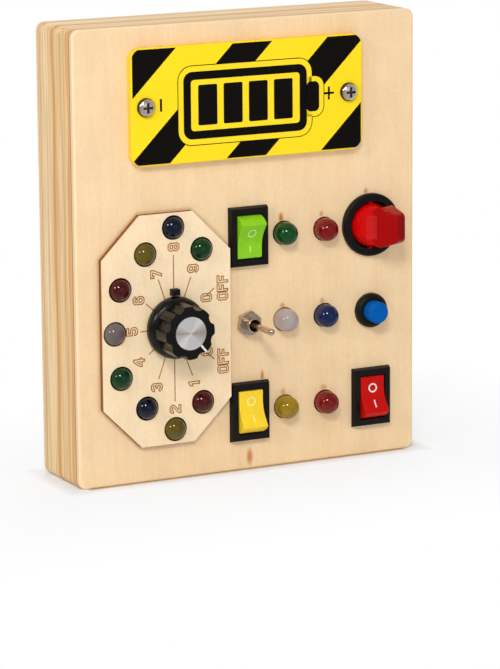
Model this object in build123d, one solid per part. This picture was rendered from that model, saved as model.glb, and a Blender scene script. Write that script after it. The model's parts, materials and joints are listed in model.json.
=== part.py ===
from build123d import *
import os
from math import cos, degrees, radians, sin, tan

# Electric busy board: a hollow wooden case with toy-safe switches, a rotary dial and fifteen lamps.
# Millimetres. X to the right, the front faces -Y, Z up. The origin is the centre of the case's
# bottom face. "Proud" is a distance in front of the front panel's face.

# ---- Case ------------------------------------------------------------------------------------
case_width = 130.0
case_height = 157.0
case_depth = 30.0
case_corner_radius = 2.8
front_edge_radius = 0.8
front_panel_thickness = 3.2
front_frame_depth = 12.8
back_panel_thickness = 3.0
frame_wall = 7.0
frame_inner_radius = 10.0

# Wood screws that hold the back panel on, one in each corner
back_screw_inset = 7.0
back_screw_radius = 1.45
back_screw_head_radius = 3.0
back_screw_head_height = 1.8
back_screw_length = 13.0

# ---- Where the controls stand on the front ---------------------------------------------------
# An inset is from the case's edge to the controls' centres. The two lamp columns share out the
# free width between the rockers' bezels and the paddle switch's bezel.
rocker_column_x = -0.4
right_column_inset = 17.4
left_lamp_gap_share = 0.187
right_lamp_gap_share = 0.231
lower_row_z = 20.8
middle_row_raise = 0.25
upper_row_below_hazard_plate = 27.7

# ---- Warning-striped plate, screwed on at the top --------------------------------------------
hazard_plate_width = 88.0
hazard_plate_height = 40.0
hazard_plate_thickness = 3.0
hazard_plate_corner_radius = 4.0
hazard_plate_edge_chamfer = 0.2
hazard_plate_x = -1.1
hazard_plate_top_margin = 7.0
plate_screw_spacing = 77.3
plate_screw_radius = 1.5
plate_screw_head_radius = 3.25
plate_screw_head_height = 2.0
plate_screw_tail = 0.7
plate_nut_across_flats = 5.5
plate_nut_thickness = 2.4

# ---- Octagonal dial plate --------------------------------------------------------------------
# It fills the space beside the rockers and below the striped plate.
dial_plate_side_margin = 8.3
dial_plate_rocker_gap = 0.2
dial_plate_bottom_margin = 12.9
dial_plate_top_gap = 16.7
dial_plate_thickness = 2.0
dial_plate_chamfer = 14.3

# ---- Lamps: 8 mm light-emitting diodes -------------------------------------------------------
lamp_radius = 4.0
lamp_flange_radius = 4.7
lamp_flange_thickness = 1.5
lamp_barrel_length = 5.5
lamp_hole_clearance = 0.25
dial_lamp_setback = 1.4
dial_lamp_side_margin = 4.7
dial_lamp_end_margin = 5.1
dial_lamp_reach_share = 0.4598
# Lamps beside digits 1 to 5, as shares of the ring's reach to the side and of its rise from its
# middle; 6 to 9 mirror 4 to 1 upwards.
dial_lamp_shares = [(0.475, -0.761), (0.0, -1.0), (-0.475, -0.761), (-0.901, -0.436), (-1.0, 0.01)]
lamp_lead_radius = 0.25
lamp_lead_spacing = 2.54
lamp_lead_tail = 1.2

# ---- Circuit boards behind the lamps ---------------------------------------------------------
board_thickness = 1.6
board_margin = 0.45
board_corner_radius = 4.0
board_hole_clearance = 0.12
dial_board_opening_clearance = 0.4
spacer_radius = 2.0
spacer_inset = 3.2
resistor_radius = 1.0
resistor_length = 5.0
resistor_offset = 3.9

# ---- Rotary switch with its knob -------------------------------------------------------------
# Its axis stands a little above the middle of the ring of lamps.
rotary_rise = 0.7
rotary_body_radius = 14.0
rotary_body_depth = 10.0
rotary_body_wall = 1.6
rotary_front_wall = 2.5
rotary_wafer_thickness = 1.6
rotary_rotor_radius = 9.0
rotary_rotor_thickness = 3.0
rotary_rotor_gap = 0.5
rotary_bushing_radius = 4.5
rotary_bushing_proud = 5.6
rotary_hole_clearance = 0.1
rotary_nut_across_flats = 14.0
rotary_nut_thickness = 2.2
rotary_lug_width = 2.9
rotary_lug_height = 2.1
rotary_lug_proud = 4.0
rotary_lug_knob_gap = 0.35
rotary_positions = 11
rotary_rest_angle = -49.5
rotary_pin_radius = 0.5
rotary_pin_circle_radius = 10.5
rotary_pin_length = 2.5
shaft_radius = 3.0
shaft_proud = 13.0
running_clearance = 0.05
pivot_end_clearance = 0.1

knob_gap_to_dial_plate = 0.3
knob_skirt_radius = 10.8
knob_skirt_height = 4.6
knob_skirt_edge_radius = 3.0
knob_skirt_rim_radius = 0.8
knob_proud = 14.9
knob_grip_radius_base = 9.6
knob_grip_radius_front = 9.2
knob_flutes = 8
knob_flute_turn = 9.0
knob_flute_radius = 2.6
knob_flute_depth = 1.15
knob_edge_radius = 0.5
knob_nut_clearance = 0.5
knob_bushing_gap = 0.3
knob_cap_radius = 5.7
knob_cap_thickness = 1.0
knob_cap_proud = 0.2
knob_pointer_width = 0.8
knob_pointer_depth = 0.2
set_screw_radius = 1.5
set_screw_length = 3.5
set_screw_from_front = 5.5
set_screw_slot_width = 0.6
set_screw_slot_depth = 0.5

# ---- Rocker switches -------------------------------------------------------------------------
rocker_bezel_width = 15.0
rocker_bezel_height = 21.0
rocker_bezel_proud = 2.0
rocker_bezel_draft = 0.5
rocker_body_width = 12.9
rocker_body_height = 18.8
rocker_body_depth = 14.0
rocker_hole_clearance = 0.15
rocker_width = 9.3
rocker_side_gap = 0.35
rocker_end_gap = 0.25
rocker_end_radius = 7.6
rocker_crest_angle = 33.0
rocker_valley_height = 2.1
rocker_valley_radius = 9.0
rocker_crest_radius = 0.45
rocker_edge_radius = 0.3
rocker_root_angle = -20.0
rocker_tilt = 18.0
rocker_well_depth = 7.5
rocker_pivot_radius = 1.2
rocker_pivot_length = 0.8
rocker_catch_height = 0.8
rocker_catch_length = 3.0
rocker_catch_width = 6.0
rocker_terminal_spacing = 8.0
rocker_terminal_width = 4.8
rocker_terminal_thickness = 0.8
rocker_terminal_length = 7.0

# ---- Round paddle switch ---------------------------------------------------------------------
paddle_bezel_radius = 11.1
paddle_bezel_proud = 1.9
paddle_bezel_edge_radius = 0.9
paddle_body_radius = 9.9
paddle_body_depth = 14.0
paddle_hole_clearance = 0.15
paddle_dome_radius = 7.7
paddle_dome_gap = 0.7
paddle_root_depth = 4.0
paddle_well_depth = 8.5
paddle_pivot_radius = 1.2
paddle_pivot_length = 0.8
paddle_tilt = 22.0
paddle_reach = 14.2
paddle_tip_thickness = 4.4
paddle_root_thickness = 14.6
paddle_scoop_reach = 2.4
paddle_waist_thickness = 7.8
paddle_waist_reach = 6.4
paddle_tip_height = 9.8
paddle_root_height = 1.0
paddle_shoulder_height = 14.8
paddle_shoulder_reach = 6.6
paddle_shoulder_radius = 2.6
paddle_tip_corner_radius = 2.2
paddle_edge_radius = 0.6
paddle_terminal_spacing = 8.0

# ---- Bat-handle toggle switch ----------------------------------------------------------------
toggle_body_width = 13.0
toggle_body_height = 8.0
toggle_body_depth = 9.5
toggle_body_wall = 1.2
toggle_bushing_radius = 2.5
toggle_bushing_proud = 5.2
toggle_bushing_chamfer = 0.15
toggle_hole_clearance = 0.1
toggle_bore_radius = 1.5
toggle_mouth_radius = 2.15
toggle_nut_across_flats = 8.0
toggle_nut_thickness = 1.8
toggle_nut_chamfer = 0.35
toggle_nut_turn = 15.0
toggle_pivot_proud = 1.4
toggle_lever_root_radius = 1.05
toggle_lever_end_radius = 1.2
toggle_lever_reach = 13.2
toggle_tail_radius = 0.8
toggle_tail_length = 7.0
toggle_tilt = 12.0
toggle_throw_angle = -25.0
toggle_terminal_spacing = 4.7
toggle_terminal_width = 2.0
toggle_terminal_thickness = 0.8
toggle_terminal_length = 4.0

# ---- Push button -----------------------------------------------------------------------------
button_bezel_radius = 6.1
button_bezel_proud = 2.7
button_bezel_edge_radius = 1.6
button_body_radius = 4.9
button_body_depth = 13.0
button_hole_clearance = 0.1
button_cap_radius = 3.8
button_cap_proud = 7.0
button_cap_edge_radius = 0.9
button_cap_gap = 0.3
button_cap_underside_depth = 1.0
button_stem_radius = 1.8
button_travel = 2.5
button_stem_gap = 0.3
button_spring_wire_radius = 0.25
button_spring_radius = 2.8
button_spring_turns = 5
button_spring_length = 6.0
button_stem_end_wall = 1.5
button_nut_across_flats = 13.0
button_nut_thickness = 2.0
button_terminal_spacing = 4.0

# ---- Battery compartment behind the striped plate --------------------------------------------
cell_radius = 7.1
cell_length = 49.2
cell_nub_radius = 2.75
cell_nub_length = 1.3
cell_gap = 0.6
tray_end_room = 5.5
tray_wall = 1.8
tray_floor = 1.8
tray_boss_width = 7.5
tray_corner_radius = 2.0
tray_flange_width = 3.0
tray_flange_thickness = 1.5
tray_opening_clearance = 0.15
cover_thickness = 2.0
cover_ledge = 0.9
cover_gap = 0.2
cover_sink = 0.2
cover_screw_radius = 1.25
cover_screw_length = 6.0
cover_screw_head_radius = 2.3
cover_screw_head_height = 1.2
cover_screw_end_gap = 0.5
contact_thickness = 0.4
contact_width = 9.0
contact_tab_width = 3.0
contact_tab_length = 2.5

# ---- Internal leads --------------------------------------------------------------------------
wire_radius = 0.55
wire_bend_share = 0.45
wire_stub = 3.2
wire_drop = 1.5
wire_spacing = 3.0
wire_pad_offset = 2.4
battery_wire_pad_offset = 6.0
battery_wire_stub = 5.5
link_wire_rise = 5.0
pin_wire_rise = 2.4
pin_wire_pad_gap = 1.2

# ---- Planes and places that follow -----------------------------------------------------------
front_y = -case_depth / 2
back_y = case_depth / 2
panel_back_y = front_y + front_panel_thickness
frame_seam_y = panel_back_y + front_frame_depth
back_inner_y = back_y - back_panel_thickness
dial_face_y = front_y - dial_plate_thickness
dial_board_y = panel_back_y + dial_lamp_setback + lamp_flange_thickness
panel_board_y = panel_back_y + lamp_flange_thickness
dial_board_back_y = dial_board_y + board_thickness
panel_board_back_y = panel_board_y + board_thickness
rotary_back_y = panel_back_y + rotary_body_depth
knob_back_y = dial_face_y - knob_gap_to_dial_plate
knob_front_y = front_y - knob_proud
lug_inner_radius = knob_skirt_radius + rotary_lug_knob_gap
lamp_hole_radius = lamp_radius + lamp_hole_clearance

hazard_plate_bottom = case_height - hazard_plate_top_margin - hazard_plate_height
hazard_plate_z = hazard_plate_bottom + hazard_plate_height / 2
tray_x = hazard_plate_x
tray_z = hazard_plate_z
upper_row_z = hazard_plate_bottom - upper_row_below_hazard_plate
middle_row_z = (upper_row_z + lower_row_z) / 2 + middle_row_raise
right_column_x = case_width / 2 - right_column_inset
rocker_column_right = rocker_column_x + rocker_bezel_width / 2
right_column_left = right_column_x - paddle_bezel_radius
free_width = right_column_left - rocker_column_right - 4 * lamp_radius
left_lamp_column_x = rocker_column_right + left_lamp_gap_share * free_width + lamp_radius
right_lamp_column_x = right_column_left - right_lamp_gap_share * free_width - lamp_radius

dial_plate_left = dial_plate_side_margin - case_width / 2
dial_plate_right = rocker_column_x - rocker_bezel_width / 2 - dial_plate_rocker_gap
dial_plate_width = dial_plate_right - dial_plate_left
dial_plate_x = (dial_plate_left + dial_plate_right) / 2
dial_plate_height = hazard_plate_bottom - dial_plate_top_gap - dial_plate_bottom_margin
dial_plate_z = dial_plate_bottom_margin + dial_plate_height / 2
dial_lamp_reach = dial_lamp_reach_share * dial_plate_width
dial_lamp_rise = dial_plate_height / 2 - dial_lamp_end_margin
dial_x = dial_plate_left + dial_lamp_side_margin + dial_lamp_reach
dial_z = dial_plate_z
rotary_z = dial_z + rotary_rise
mirrored_shares = [(across, -up) for across, up in reversed(dial_lamp_shares[:-1])]
dial_lamps = [
    (dial_x + across * dial_lamp_reach, dial_z + up * dial_lamp_rise)
    for across, up in dial_lamp_shares + mirrored_shares
]
panel_lamps = {
    (column, row): (x, z)
    for column, x in (("left", left_lamp_column_x), ("right", right_lamp_column_x))
    for row, z in (("upper", upper_row_z), ("middle", middle_row_z), ("lower", lower_row_z))
}
plate_screws_x = [hazard_plate_x + side * plate_screw_spacing / 2 for side in (-1, 1)]
back_screws = [
    (side * (case_width / 2 - back_screw_inset), z)
    for side in (-1, 1)
    for z in (back_screw_inset, case_height - back_screw_inset)
]
rockers = {
    "green": (rocker_column_x, upper_row_z, rocker_tilt),
    "yellow": (rocker_column_x, lower_row_z, -rocker_tilt),
    "red": (right_column_x, lower_row_z, -rocker_tilt),
}

nodes = {}


# ---- Helpers ---------------------------------------------------------------------------------
def plate(outline, y_front, y_back):
    """A flat piece facing the front, from an outline drawn in X and Z."""
    return extrude(Plane.XZ.offset(-y_back) * outline, amount=y_back - y_front)


def disc(x, z, radius, y_front, y_back):
    return plate(Pos(x, z) * Circle(radius), y_front, y_back)


def bar(x, z, width, height, y_front, y_back):
    return plate(Pos(x, z) * Rectangle(width, height), y_front, y_back)


def hexagon(x, z, across_flats, y_front, y_back, turn=0.0):
    outline = RegularPolygon(across_flats / 2, 6, major_radius=False, rotation=turn)
    return plate(Pos(x, z) * outline, y_front, y_back)


def turned(outline):
    """A round piece about the Y axis, from a closed outline of radius and Y."""
    return revolve(make_face(outline), axis=Axis.Y)


def pan_screw(head_radius, head_height, shank_radius, shank_length):
    """A cross-head screw that seats at the origin, head towards -Y, shank towards +Y."""
    flat_radius = 0.4 * head_radius
    rim = Line((head_radius, 0), (head_radius, -0.3 * head_height))
    dome = TangentArc((flat_radius, -head_height), rim @ 1, tangent=(1, 0))
    top = Line((0, -head_height), (flat_radius, -head_height))
    shank = Polyline(
        (head_radius, 0), (shank_radius, 0), (shank_radius, shank_length), (0, shank_length)
    )
    screw = turned(top + dome + rim + shank + Line((0, shank_length), (0, -head_height)))
    slot_length = 1.1 * head_radius
    slot_width = 0.28 * head_radius
    cross = Box(slot_length, head_height, slot_width) + Box(slot_width, head_height, slot_length)
    return screw - Pos(0, -head_height, 0) * cross


def countersunk_screw(head_radius, head_height, shank_radius, shank_length):
    """A cross-head wood screw, its flat head flush with the origin's plane, pointing to -Y."""
    tip = 2 * shank_radius
    outline = Polyline(
        (0, 0),
        (head_radius, 0),
        (shank_radius, -head_height),
        (shank_radius, tip - shank_length),
        (0, -shank_length),
        close=True,
    )
    slot_length = 1.2 * head_radius
    slot_width = 0.25 * head_radius
    cross = Box(slot_length, head_height, slot_width) + Box(slot_width, head_height, slot_length)
    return turned(outline) - cross


def wire(points):
    """An insulated lead with its bends as large as its runs allow."""
    points = [Vector(*point) for point in points]
    radii = []
    for before, corner, after in zip(points, points[1:], points[2:]):
        turn = (corner - before).get_angle(after - corner)
        shorter = min((corner - before).length, (after - corner).length)
        radii.append(wire_bend_share * shorter / tan(radians(turn) / 2))
    path = FilletPolyline(*points, radius=radii)
    return sweep(Plane(origin=path @ 0, z_dir=path % 0) * Circle(wire_radius), path=path)


# ---- Case ------------------------------------------------------------------------------------
def case_outline():
    return Pos(0, case_height / 2) * RectangleRounded(case_width, case_height, case_corner_radius)


def frame_opening():
    width = case_width - 2 * frame_wall
    height = case_height - 2 * frame_wall
    return Pos(0, case_height / 2) * RectangleRounded(width, height, frame_inner_radius)


def tray_outline(grow=0.0):
    width = tray_outer_width + 2 * grow
    height = tray_outer_height + 2 * grow
    return Pos(tray_x, tray_z) * RectangleRounded(width, height, tray_corner_radius + grow)


def lug_outline(grow=0.0):
    height = rotary_lug_height + 2 * grow
    centre_z = rotary_z + lug_inner_radius + rotary_lug_height / 2
    return Pos(dial_x, centre_z) * Rectangle(rotary_lug_width + 2 * grow, height)


def make_case():
    panel = plate(case_outline(), front_y, panel_back_y)
    panel = fillet(panel.faces().sort_by(Axis.Y)[0].edges(), front_edge_radius)
    for x, z in dial_lamps + list(panel_lamps.values()):
        panel -= disc(x, z, lamp_hole_radius, front_y, panel_back_y)
    for x, z, _ in rockers.values():
        width = rocker_body_width + 2 * rocker_hole_clearance
        height = rocker_body_height + 2 * rocker_hole_clearance
        panel -= bar(x, z, width, height, front_y, panel_back_y)
    round_holes = [
        (right_column_x, upper_row_z, paddle_body_radius + paddle_hole_clearance),
        (right_column_x, middle_row_z, button_body_radius + button_hole_clearance),
        (rocker_column_x, middle_row_z, toggle_bushing_radius + toggle_hole_clearance),
        (dial_x, rotary_z, rotary_bushing_radius + rotary_hole_clearance),
    ]
    round_holes += [(x, hazard_plate_z, plate_screw_radius) for x in plate_screws_x]
    for x, z, radius in round_holes:
        panel -= disc(x, z, radius, front_y, panel_back_y)
    panel -= plate(lug_outline(rotary_hole_clearance), front_y, panel_back_y)
    nodes["front_panel"] = panel

    ring = case_outline() - frame_opening()
    nodes["front_frame"] = plate(ring, panel_back_y, frame_seam_y)

    screw = countersunk_screw(
        back_screw_head_radius, back_screw_head_height, back_screw_radius, back_screw_length
    )
    screws = [Pos(x, back_y, z) * screw for x, z in back_screws]
    bores = [disc(x, z, back_screw_radius, back_y - back_screw_length, back_y) for x, z in back_screws]
    heads = [
        Pos(x, back_y, z)
        * turned(
            Polyline(
                (0, 0),
                (back_screw_head_radius, 0),
                (back_screw_radius, -back_screw_head_height),
                (0, -back_screw_head_height),
                close=True,
            )
        )
        for x, z in back_screws
    ]
    nodes["rear_frame"] = plate(ring, frame_seam_y, back_inner_y) - bores
    cover_hole = plate(tray_outline(tray_opening_clearance), back_inner_y, back_y)
    nodes["back_panel"] = plate(case_outline(), back_inner_y, back_y) - cover_hole - bores - heads
    nodes["back_screws"] = Compound(screws)


def make_hazard_plate():
    y_front = front_y - hazard_plate_thickness
    outline = RectangleRounded(hazard_plate_width, hazard_plate_height, hazard_plate_corner_radius)
    striped = plate(Pos(hazard_plate_x, hazard_plate_z) * outline, y_front, front_y)
    striped = chamfer(striped.faces().sort_by(Axis.Y)[0].edges(), hazard_plate_edge_chamfer)
    shank = hazard_plate_thickness + front_panel_thickness + plate_nut_thickness + plate_screw_tail
    screw = pan_screw(plate_screw_head_radius, plate_screw_head_height, plate_screw_radius, shank)
    screws = []
    nuts = []
    for x in plate_screws_x:
        striped -= disc(x, hazard_plate_z, plate_screw_radius, y_front, front_y)
        screws.append(Pos(x, y_front, hazard_plate_z) * screw)
        nut_back_y = panel_back_y + plate_nut_thickness
        nut = hexagon(x, hazard_plate_z, plate_nut_across_flats, panel_back_y, nut_back_y)
        nuts.append(nut - disc(x, hazard_plate_z, plate_screw_radius, panel_back_y, nut_back_y))
    nodes["hazard_plate"] = striped
    nodes["plate_screws"] = Compound(screws)
    nodes["plate_nuts"] = Compound(nuts)


def make_dial_plate():
    across = dial_plate_width / 2
    up = dial_plate_height / 2
    cut = dial_plate_chamfer
    corners = [
        (across, up - cut),
        (across - cut, up),
        (cut - across, up),
        (-across, up - cut),
        (-across, cut - up),
        (cut - across, -up),
        (across - cut, -up),
        (across, cut - up),
    ]
    outline = Pos(dial_plate_x, dial_plate_z) * make_face(Polyline(*corners, close=True))
    octagon = plate(outline, dial_face_y, front_y)
    for x, z in dial_lamps:
        octagon -= disc(x, z, lamp_hole_radius, dial_face_y, front_y)
    hole_radius = rotary_bushing_radius + rotary_hole_clearance
    octagon -= disc(dial_x, rotary_z, hole_radius, dial_face_y, front_y)
    octagon -= plate(lug_outline(rotary_hole_clearance), dial_face_y, front_y)
    nodes["dial_plate"] = octagon


# ---- Lamps and their boards ------------------------------------------------------------------
def lamp(x, z, flange_y):
    """A lamp whose flange's front face is at flange_y; its domed end points to the front."""
    shoulder_y = flange_y - lamp_barrel_length
    dome = CenterArc((0, shoulder_y), lamp_radius, -90, 90)
    rest = Polyline(
        (0, shoulder_y - lamp_radius),
        (0, flange_y + lamp_flange_thickness),
        (lamp_flange_radius, flange_y + lamp_flange_thickness),
        (lamp_flange_radius, flange_y),
        (lamp_radius, flange_y),
        (lamp_radius, shoulder_y),
    )
    return Pos(x, 0, z) * turned(dome + rest)


def lamp_lead_places(x, z):
    return [(x + side * lamp_lead_spacing / 2, z) for side in (-1, 1)]


def make_lamps():
    by_digit = {digit: place for digit, place in enumerate(dial_lamps, start=1)}
    dial_colours = {
        "dial_lamps_red": (1, 6),
        "dial_lamps_yellow": (2, 7),
        "dial_lamps_blue": (3, 8),
        "dial_lamps_green": (4, 9),
        "dial_lamp_white": (5,),
    }
    flange_y = panel_back_y + dial_lamp_setback
    for name, digits in dial_colours.items():
        nodes[name] = Compound([lamp(*by_digit[digit], flange_y) for digit in digits])
    panel_colours = {
        "panel_lamp_green": [("left", "upper")],
        "panel_lamps_red": [("right", "upper"), ("right", "lower")],
        "panel_lamp_white": [("left", "middle")],
        "panel_lamp_blue": [("right", "middle")],
        "panel_lamp_yellow": [("left", "lower")],
    }
    for name, places in panel_colours.items():
        nodes[name] = Compound([lamp(*panel_lamps[place], panel_back_y) for place in places])

    leads = []
    for places, board_y in (
        (dial_lamps, dial_board_y),
        (list(panel_lamps.values()), panel_board_y),
    ):
        lead_end_y = board_y + board_thickness + lamp_lead_tail
        for place in places:
            for x, z in lamp_lead_places(*place):
                leads.append(disc(x, z, lamp_lead_radius, board_y, lead_end_y))
    nodes["lamp_leads"] = Compound(leads)


def make_boards():
    lead_hole_radius = lamp_lead_radius + board_hole_clearance

    lamps_x = [x for x, _ in dial_lamps]
    lamps_z = [z for _, z in dial_lamps]
    reach = lamp_flange_radius + board_margin
    left, right = min(lamps_x) - reach, max(lamps_x) + reach
    bottom, top = min(lamps_z) - reach, max(lamps_z) + reach
    centre = ((left + right) / 2, (bottom + top) / 2)
    outline = Pos(*centre) * RectangleRounded(right - left, top - bottom, board_corner_radius)
    board = plate(outline, dial_board_y, dial_board_back_y)
    opening_radius = rotary_body_radius + dial_board_opening_clearance
    board -= disc(dial_x, rotary_z, opening_radius, dial_board_y, dial_board_back_y)
    for place in dial_lamps:
        for x, z in lamp_lead_places(*place):
            board -= disc(x, z, lead_hole_radius, dial_board_y, dial_board_back_y)
    nodes["dial_board"] = board
    spacers = [
        disc(x, z, spacer_radius, panel_back_y, dial_board_y)
        for x in (left + spacer_inset, right - spacer_inset)
        for z in (bottom + spacer_inset, top - spacer_inset)
    ]

    middle_x = (left_lamp_column_x + right_lamp_column_x) / 2
    width = right_lamp_column_x - left_lamp_column_x + 2 * reach
    bottom = lower_row_z - reach - 2 * spacer_radius
    top = upper_row_z + reach + 2 * spacer_radius
    board = bar(middle_x, (bottom + top) / 2, width, top - bottom, panel_board_y, panel_board_back_y)
    for place in panel_lamps.values():
        for x, z in lamp_lead_places(*place):
            board -= disc(x, z, lead_hole_radius, panel_board_y, panel_board_back_y)
    nodes["panel_board"] = board
    for z in (bottom + spacer_inset, top - spacer_inset):
        spacers.append(disc(middle_x, z, spacer_radius, panel_back_y, panel_board_y))
    nodes["board_spacers"] = Compound(spacers)

    resistors = []
    for x, z in dial_lamps:
        inward = (Vector(dial_x, dial_z) - Vector(x, z)).normalized() * resistor_offset
        resistors.append((x + inward.X, z + inward.Y, dial_board_back_y))
    for x, z in panel_lamps.values():
        resistors.append((x, z - resistor_offset, panel_board_back_y))
    nodes["resistors"] = Compound(
        [
            Pos(x, board_back_y + resistor_radius, z) * Cylinder(resistor_radius, resistor_length)
            for x, z, board_back_y in resistors
        ]
    )


# ---- Rotary switch ---------------------------------------------------------------------------
def make_rotary_switch():
    cavity_y = panel_back_y + rotary_front_wall
    body = disc(dial_x, rotary_z, rotary_body_radius, panel_back_y, rotary_back_y)
    body += plate(lug_outline(), front_y - rotary_lug_proud, panel_back_y)
    body -= disc(dial_x, rotary_z, rotary_body_radius - rotary_body_wall, cavity_y, rotary_back_y)
    body -= disc(dial_x, rotary_z, shaft_radius + running_clearance, panel_back_y, cavity_y)
    nodes["rotary_body"] = body

    wafer_y = rotary_back_y + rotary_wafer_thickness
    nodes["rotary_wafer"] = disc(dial_x, rotary_z, rotary_body_radius, rotary_back_y, wafer_y)
    nodes["rotary_pins"] = Compound(
        [
            disc(x, z, rotary_pin_radius, wafer_y, wafer_y + rotary_pin_length)
            for x, z in rotary_pin_places(rotary_pin_circle_radius)
        ]
    )

    bushing_y = front_y - rotary_bushing_proud
    bushing = disc(dial_x, rotary_z, rotary_bushing_radius, bushing_y, panel_back_y)
    bushing -= disc(dial_x, rotary_z, shaft_radius + running_clearance, bushing_y, panel_back_y)
    nodes["rotary_bushing"] = bushing
    nut_y = dial_face_y - rotary_nut_thickness
    nut = hexagon(dial_x, rotary_z, rotary_nut_across_flats, nut_y, dial_face_y)
    nut -= disc(dial_x, rotary_z, rotary_bushing_radius, nut_y, dial_face_y)
    nodes["rotary_nut"] = nut

    rotor_y = cavity_y + rotary_rotor_gap
    rotor_back_y = rotor_y + rotary_rotor_thickness
    rotor = disc(dial_x, rotary_z, rotary_rotor_radius, rotor_y, rotor_back_y)
    nodes["rotary_rotor"] = rotor - disc(dial_x, rotary_z, shaft_radius, rotor_y, rotor_back_y)
    nodes["rotary_shaft"] = disc(dial_x, rotary_z, shaft_radius, front_y - shaft_proud, rotor_back_y)


def rotary_pin_places(radius):
    """Places round the dial's axis, one for each position of the switch."""
    step = (360 + 2 * rotary_rest_angle) / (rotary_positions - 1)
    angles = [radians(rotary_rest_angle - step * position) for position in range(rotary_positions)]
    return [(dial_x + radius * cos(angle), rotary_z + radius * sin(angle)) for angle in angles]


def make_knob():
    """Built about the Y axis with its pointer along +X, then turned to the rest position."""
    skirt_front_y = knob_back_y - knob_skirt_height
    hollow_radius = rotary_nut_across_flats / 2 / cos(radians(30)) + knob_nut_clearance
    hollow_y = min(front_y - rotary_bushing_proud, dial_face_y - rotary_nut_thickness)
    hollow_y -= knob_bushing_gap
    skirt = disc(0, 0, knob_skirt_radius, skirt_front_y, knob_back_y)
    skirt = fillet(skirt.faces().sort_by(Axis.Y)[0].edges(), knob_skirt_edge_radius)
    skirt = fillet(skirt.faces().sort_by(Axis.Y)[-1].edges(), knob_skirt_rim_radius)

    grip_base_y = skirt_front_y + knob_skirt_edge_radius
    base = Plane.XZ.offset(-grip_base_y) * Circle(knob_grip_radius_base)
    front = Plane.XZ.offset(-knob_front_y) * Circle(knob_grip_radius_front)
    grip = loft([base, front])
    grip = fillet(grip.faces().sort_by(Axis.Y)[0].edges(), knob_edge_radius)
    grip_length = grip_base_y - knob_front_y
    lean = degrees((knob_grip_radius_base - knob_grip_radius_front) / grip_length)
    flute_centre = knob_grip_radius_front + knob_flute_radius - knob_flute_depth
    flute = Pos(flute_centre, knob_front_y, 0) * Rot(0, 0, -lean) * Rot(90, 0, 0)
    flute = flute * Cylinder(knob_flute_radius, 3 * grip_length)
    pitch = 360 / knob_flutes
    flute_angles = [(count + 0.5) * pitch - knob_flute_turn for count in range(knob_flutes)]
    for angle in flute_angles:
        grip -= Rot(0, angle, 0) * flute

    knob = skirt + grip
    knob -= disc(0, 0, hollow_radius, hollow_y, knob_back_y)
    knob -= disc(0, 0, shaft_radius, front_y - shaft_proud, hollow_y)
    recess_y = knob_front_y + knob_cap_thickness - knob_cap_proud
    knob -= disc(0, 0, knob_cap_radius, knob_front_y, recess_y)
    knob -= Pos(knob_grip_radius_front / 2, knob_front_y, 0) * Box(
        knob_grip_radius_front, 2 * knob_pointer_depth, knob_pointer_width
    )
    from_one_end = Align.CENTER, Align.CENTER, Align.MIN
    in_a_flute = Pos(0, knob_front_y + set_screw_from_front, 0) * Rot(0, flute_angles[0], 0)
    screw_hole = Cylinder(set_screw_radius, knob_grip_radius_base, align=from_one_end)
    knob -= in_a_flute * Rot(0, 90, 0) * screw_hole
    set_screw = Cylinder(set_screw_radius, set_screw_length, align=from_one_end)
    slot = Box(set_screw_slot_width, 2 * set_screw_radius, 2 * set_screw_slot_depth)
    set_screw -= Pos(0, 0, set_screw_length) * slot
    set_screw = in_a_flute * Pos(shaft_radius, 0, 0) * Rot(0, 90, 0) * set_screw

    at_rest = Pos(dial_x, 0, rotary_z) * Rot(0, -rotary_rest_angle, 0)
    nodes["dial_knob"] = at_rest * knob
    nodes["knob_set_screw"] = at_rest * set_screw
    nodes["knob_cap"] = disc(
        dial_x, rotary_z, knob_cap_radius, knob_front_y - knob_cap_proud, recess_y
    )


# ---- Rocker switches -------------------------------------------------------------------------
def rocker_housing(x, z):
    body_back_y = front_y + rocker_body_depth
    bezel_y = front_y - rocker_bezel_proud
    foot = Plane.XZ.offset(-front_y) * Rectangle(rocker_bezel_width, rocker_bezel_height)
    face = Plane.XZ.offset(-bezel_y) * Rectangle(
        rocker_bezel_width - 2 * rocker_bezel_draft, rocker_bezel_height - 2 * rocker_bezel_draft
    )
    housing = loft([foot, face])
    housing += bar(0, 0, rocker_body_width, rocker_body_height, front_y, body_back_y)
    catch_y = panel_back_y + rocker_catch_length
    for side in (-1, 1):
        low = rocker_body_height / 2
        wedge = Polyline(
            (panel_back_y, low),
            (panel_back_y, low + rocker_catch_height),
            (catch_y, low),
            close=True,
        )
        catch = extrude(Plane.YZ * make_face(wedge), amount=rocker_catch_width / 2, both=True)
        housing += Rot(0, 0 if side > 0 else 180, 0) * catch
    well_width = rocker_width + 2 * rocker_side_gap
    well_height = 2 * (rocker_end_radius + rocker_end_gap)
    housing -= bar(0, 0, well_width, well_height, bezel_y, front_y + rocker_well_depth)
    pivot_reach = well_width / 2 + rocker_pivot_length
    pivot_length = 2 * (pivot_reach + pivot_end_clearance)
    pivot_hole = Rot(0, 90, 0) * Cylinder(rocker_pivot_radius + running_clearance, pivot_length)
    housing -= Pos(0, front_y, 0) * pivot_hole
    return Pos(x, 0, z) * housing


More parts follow.
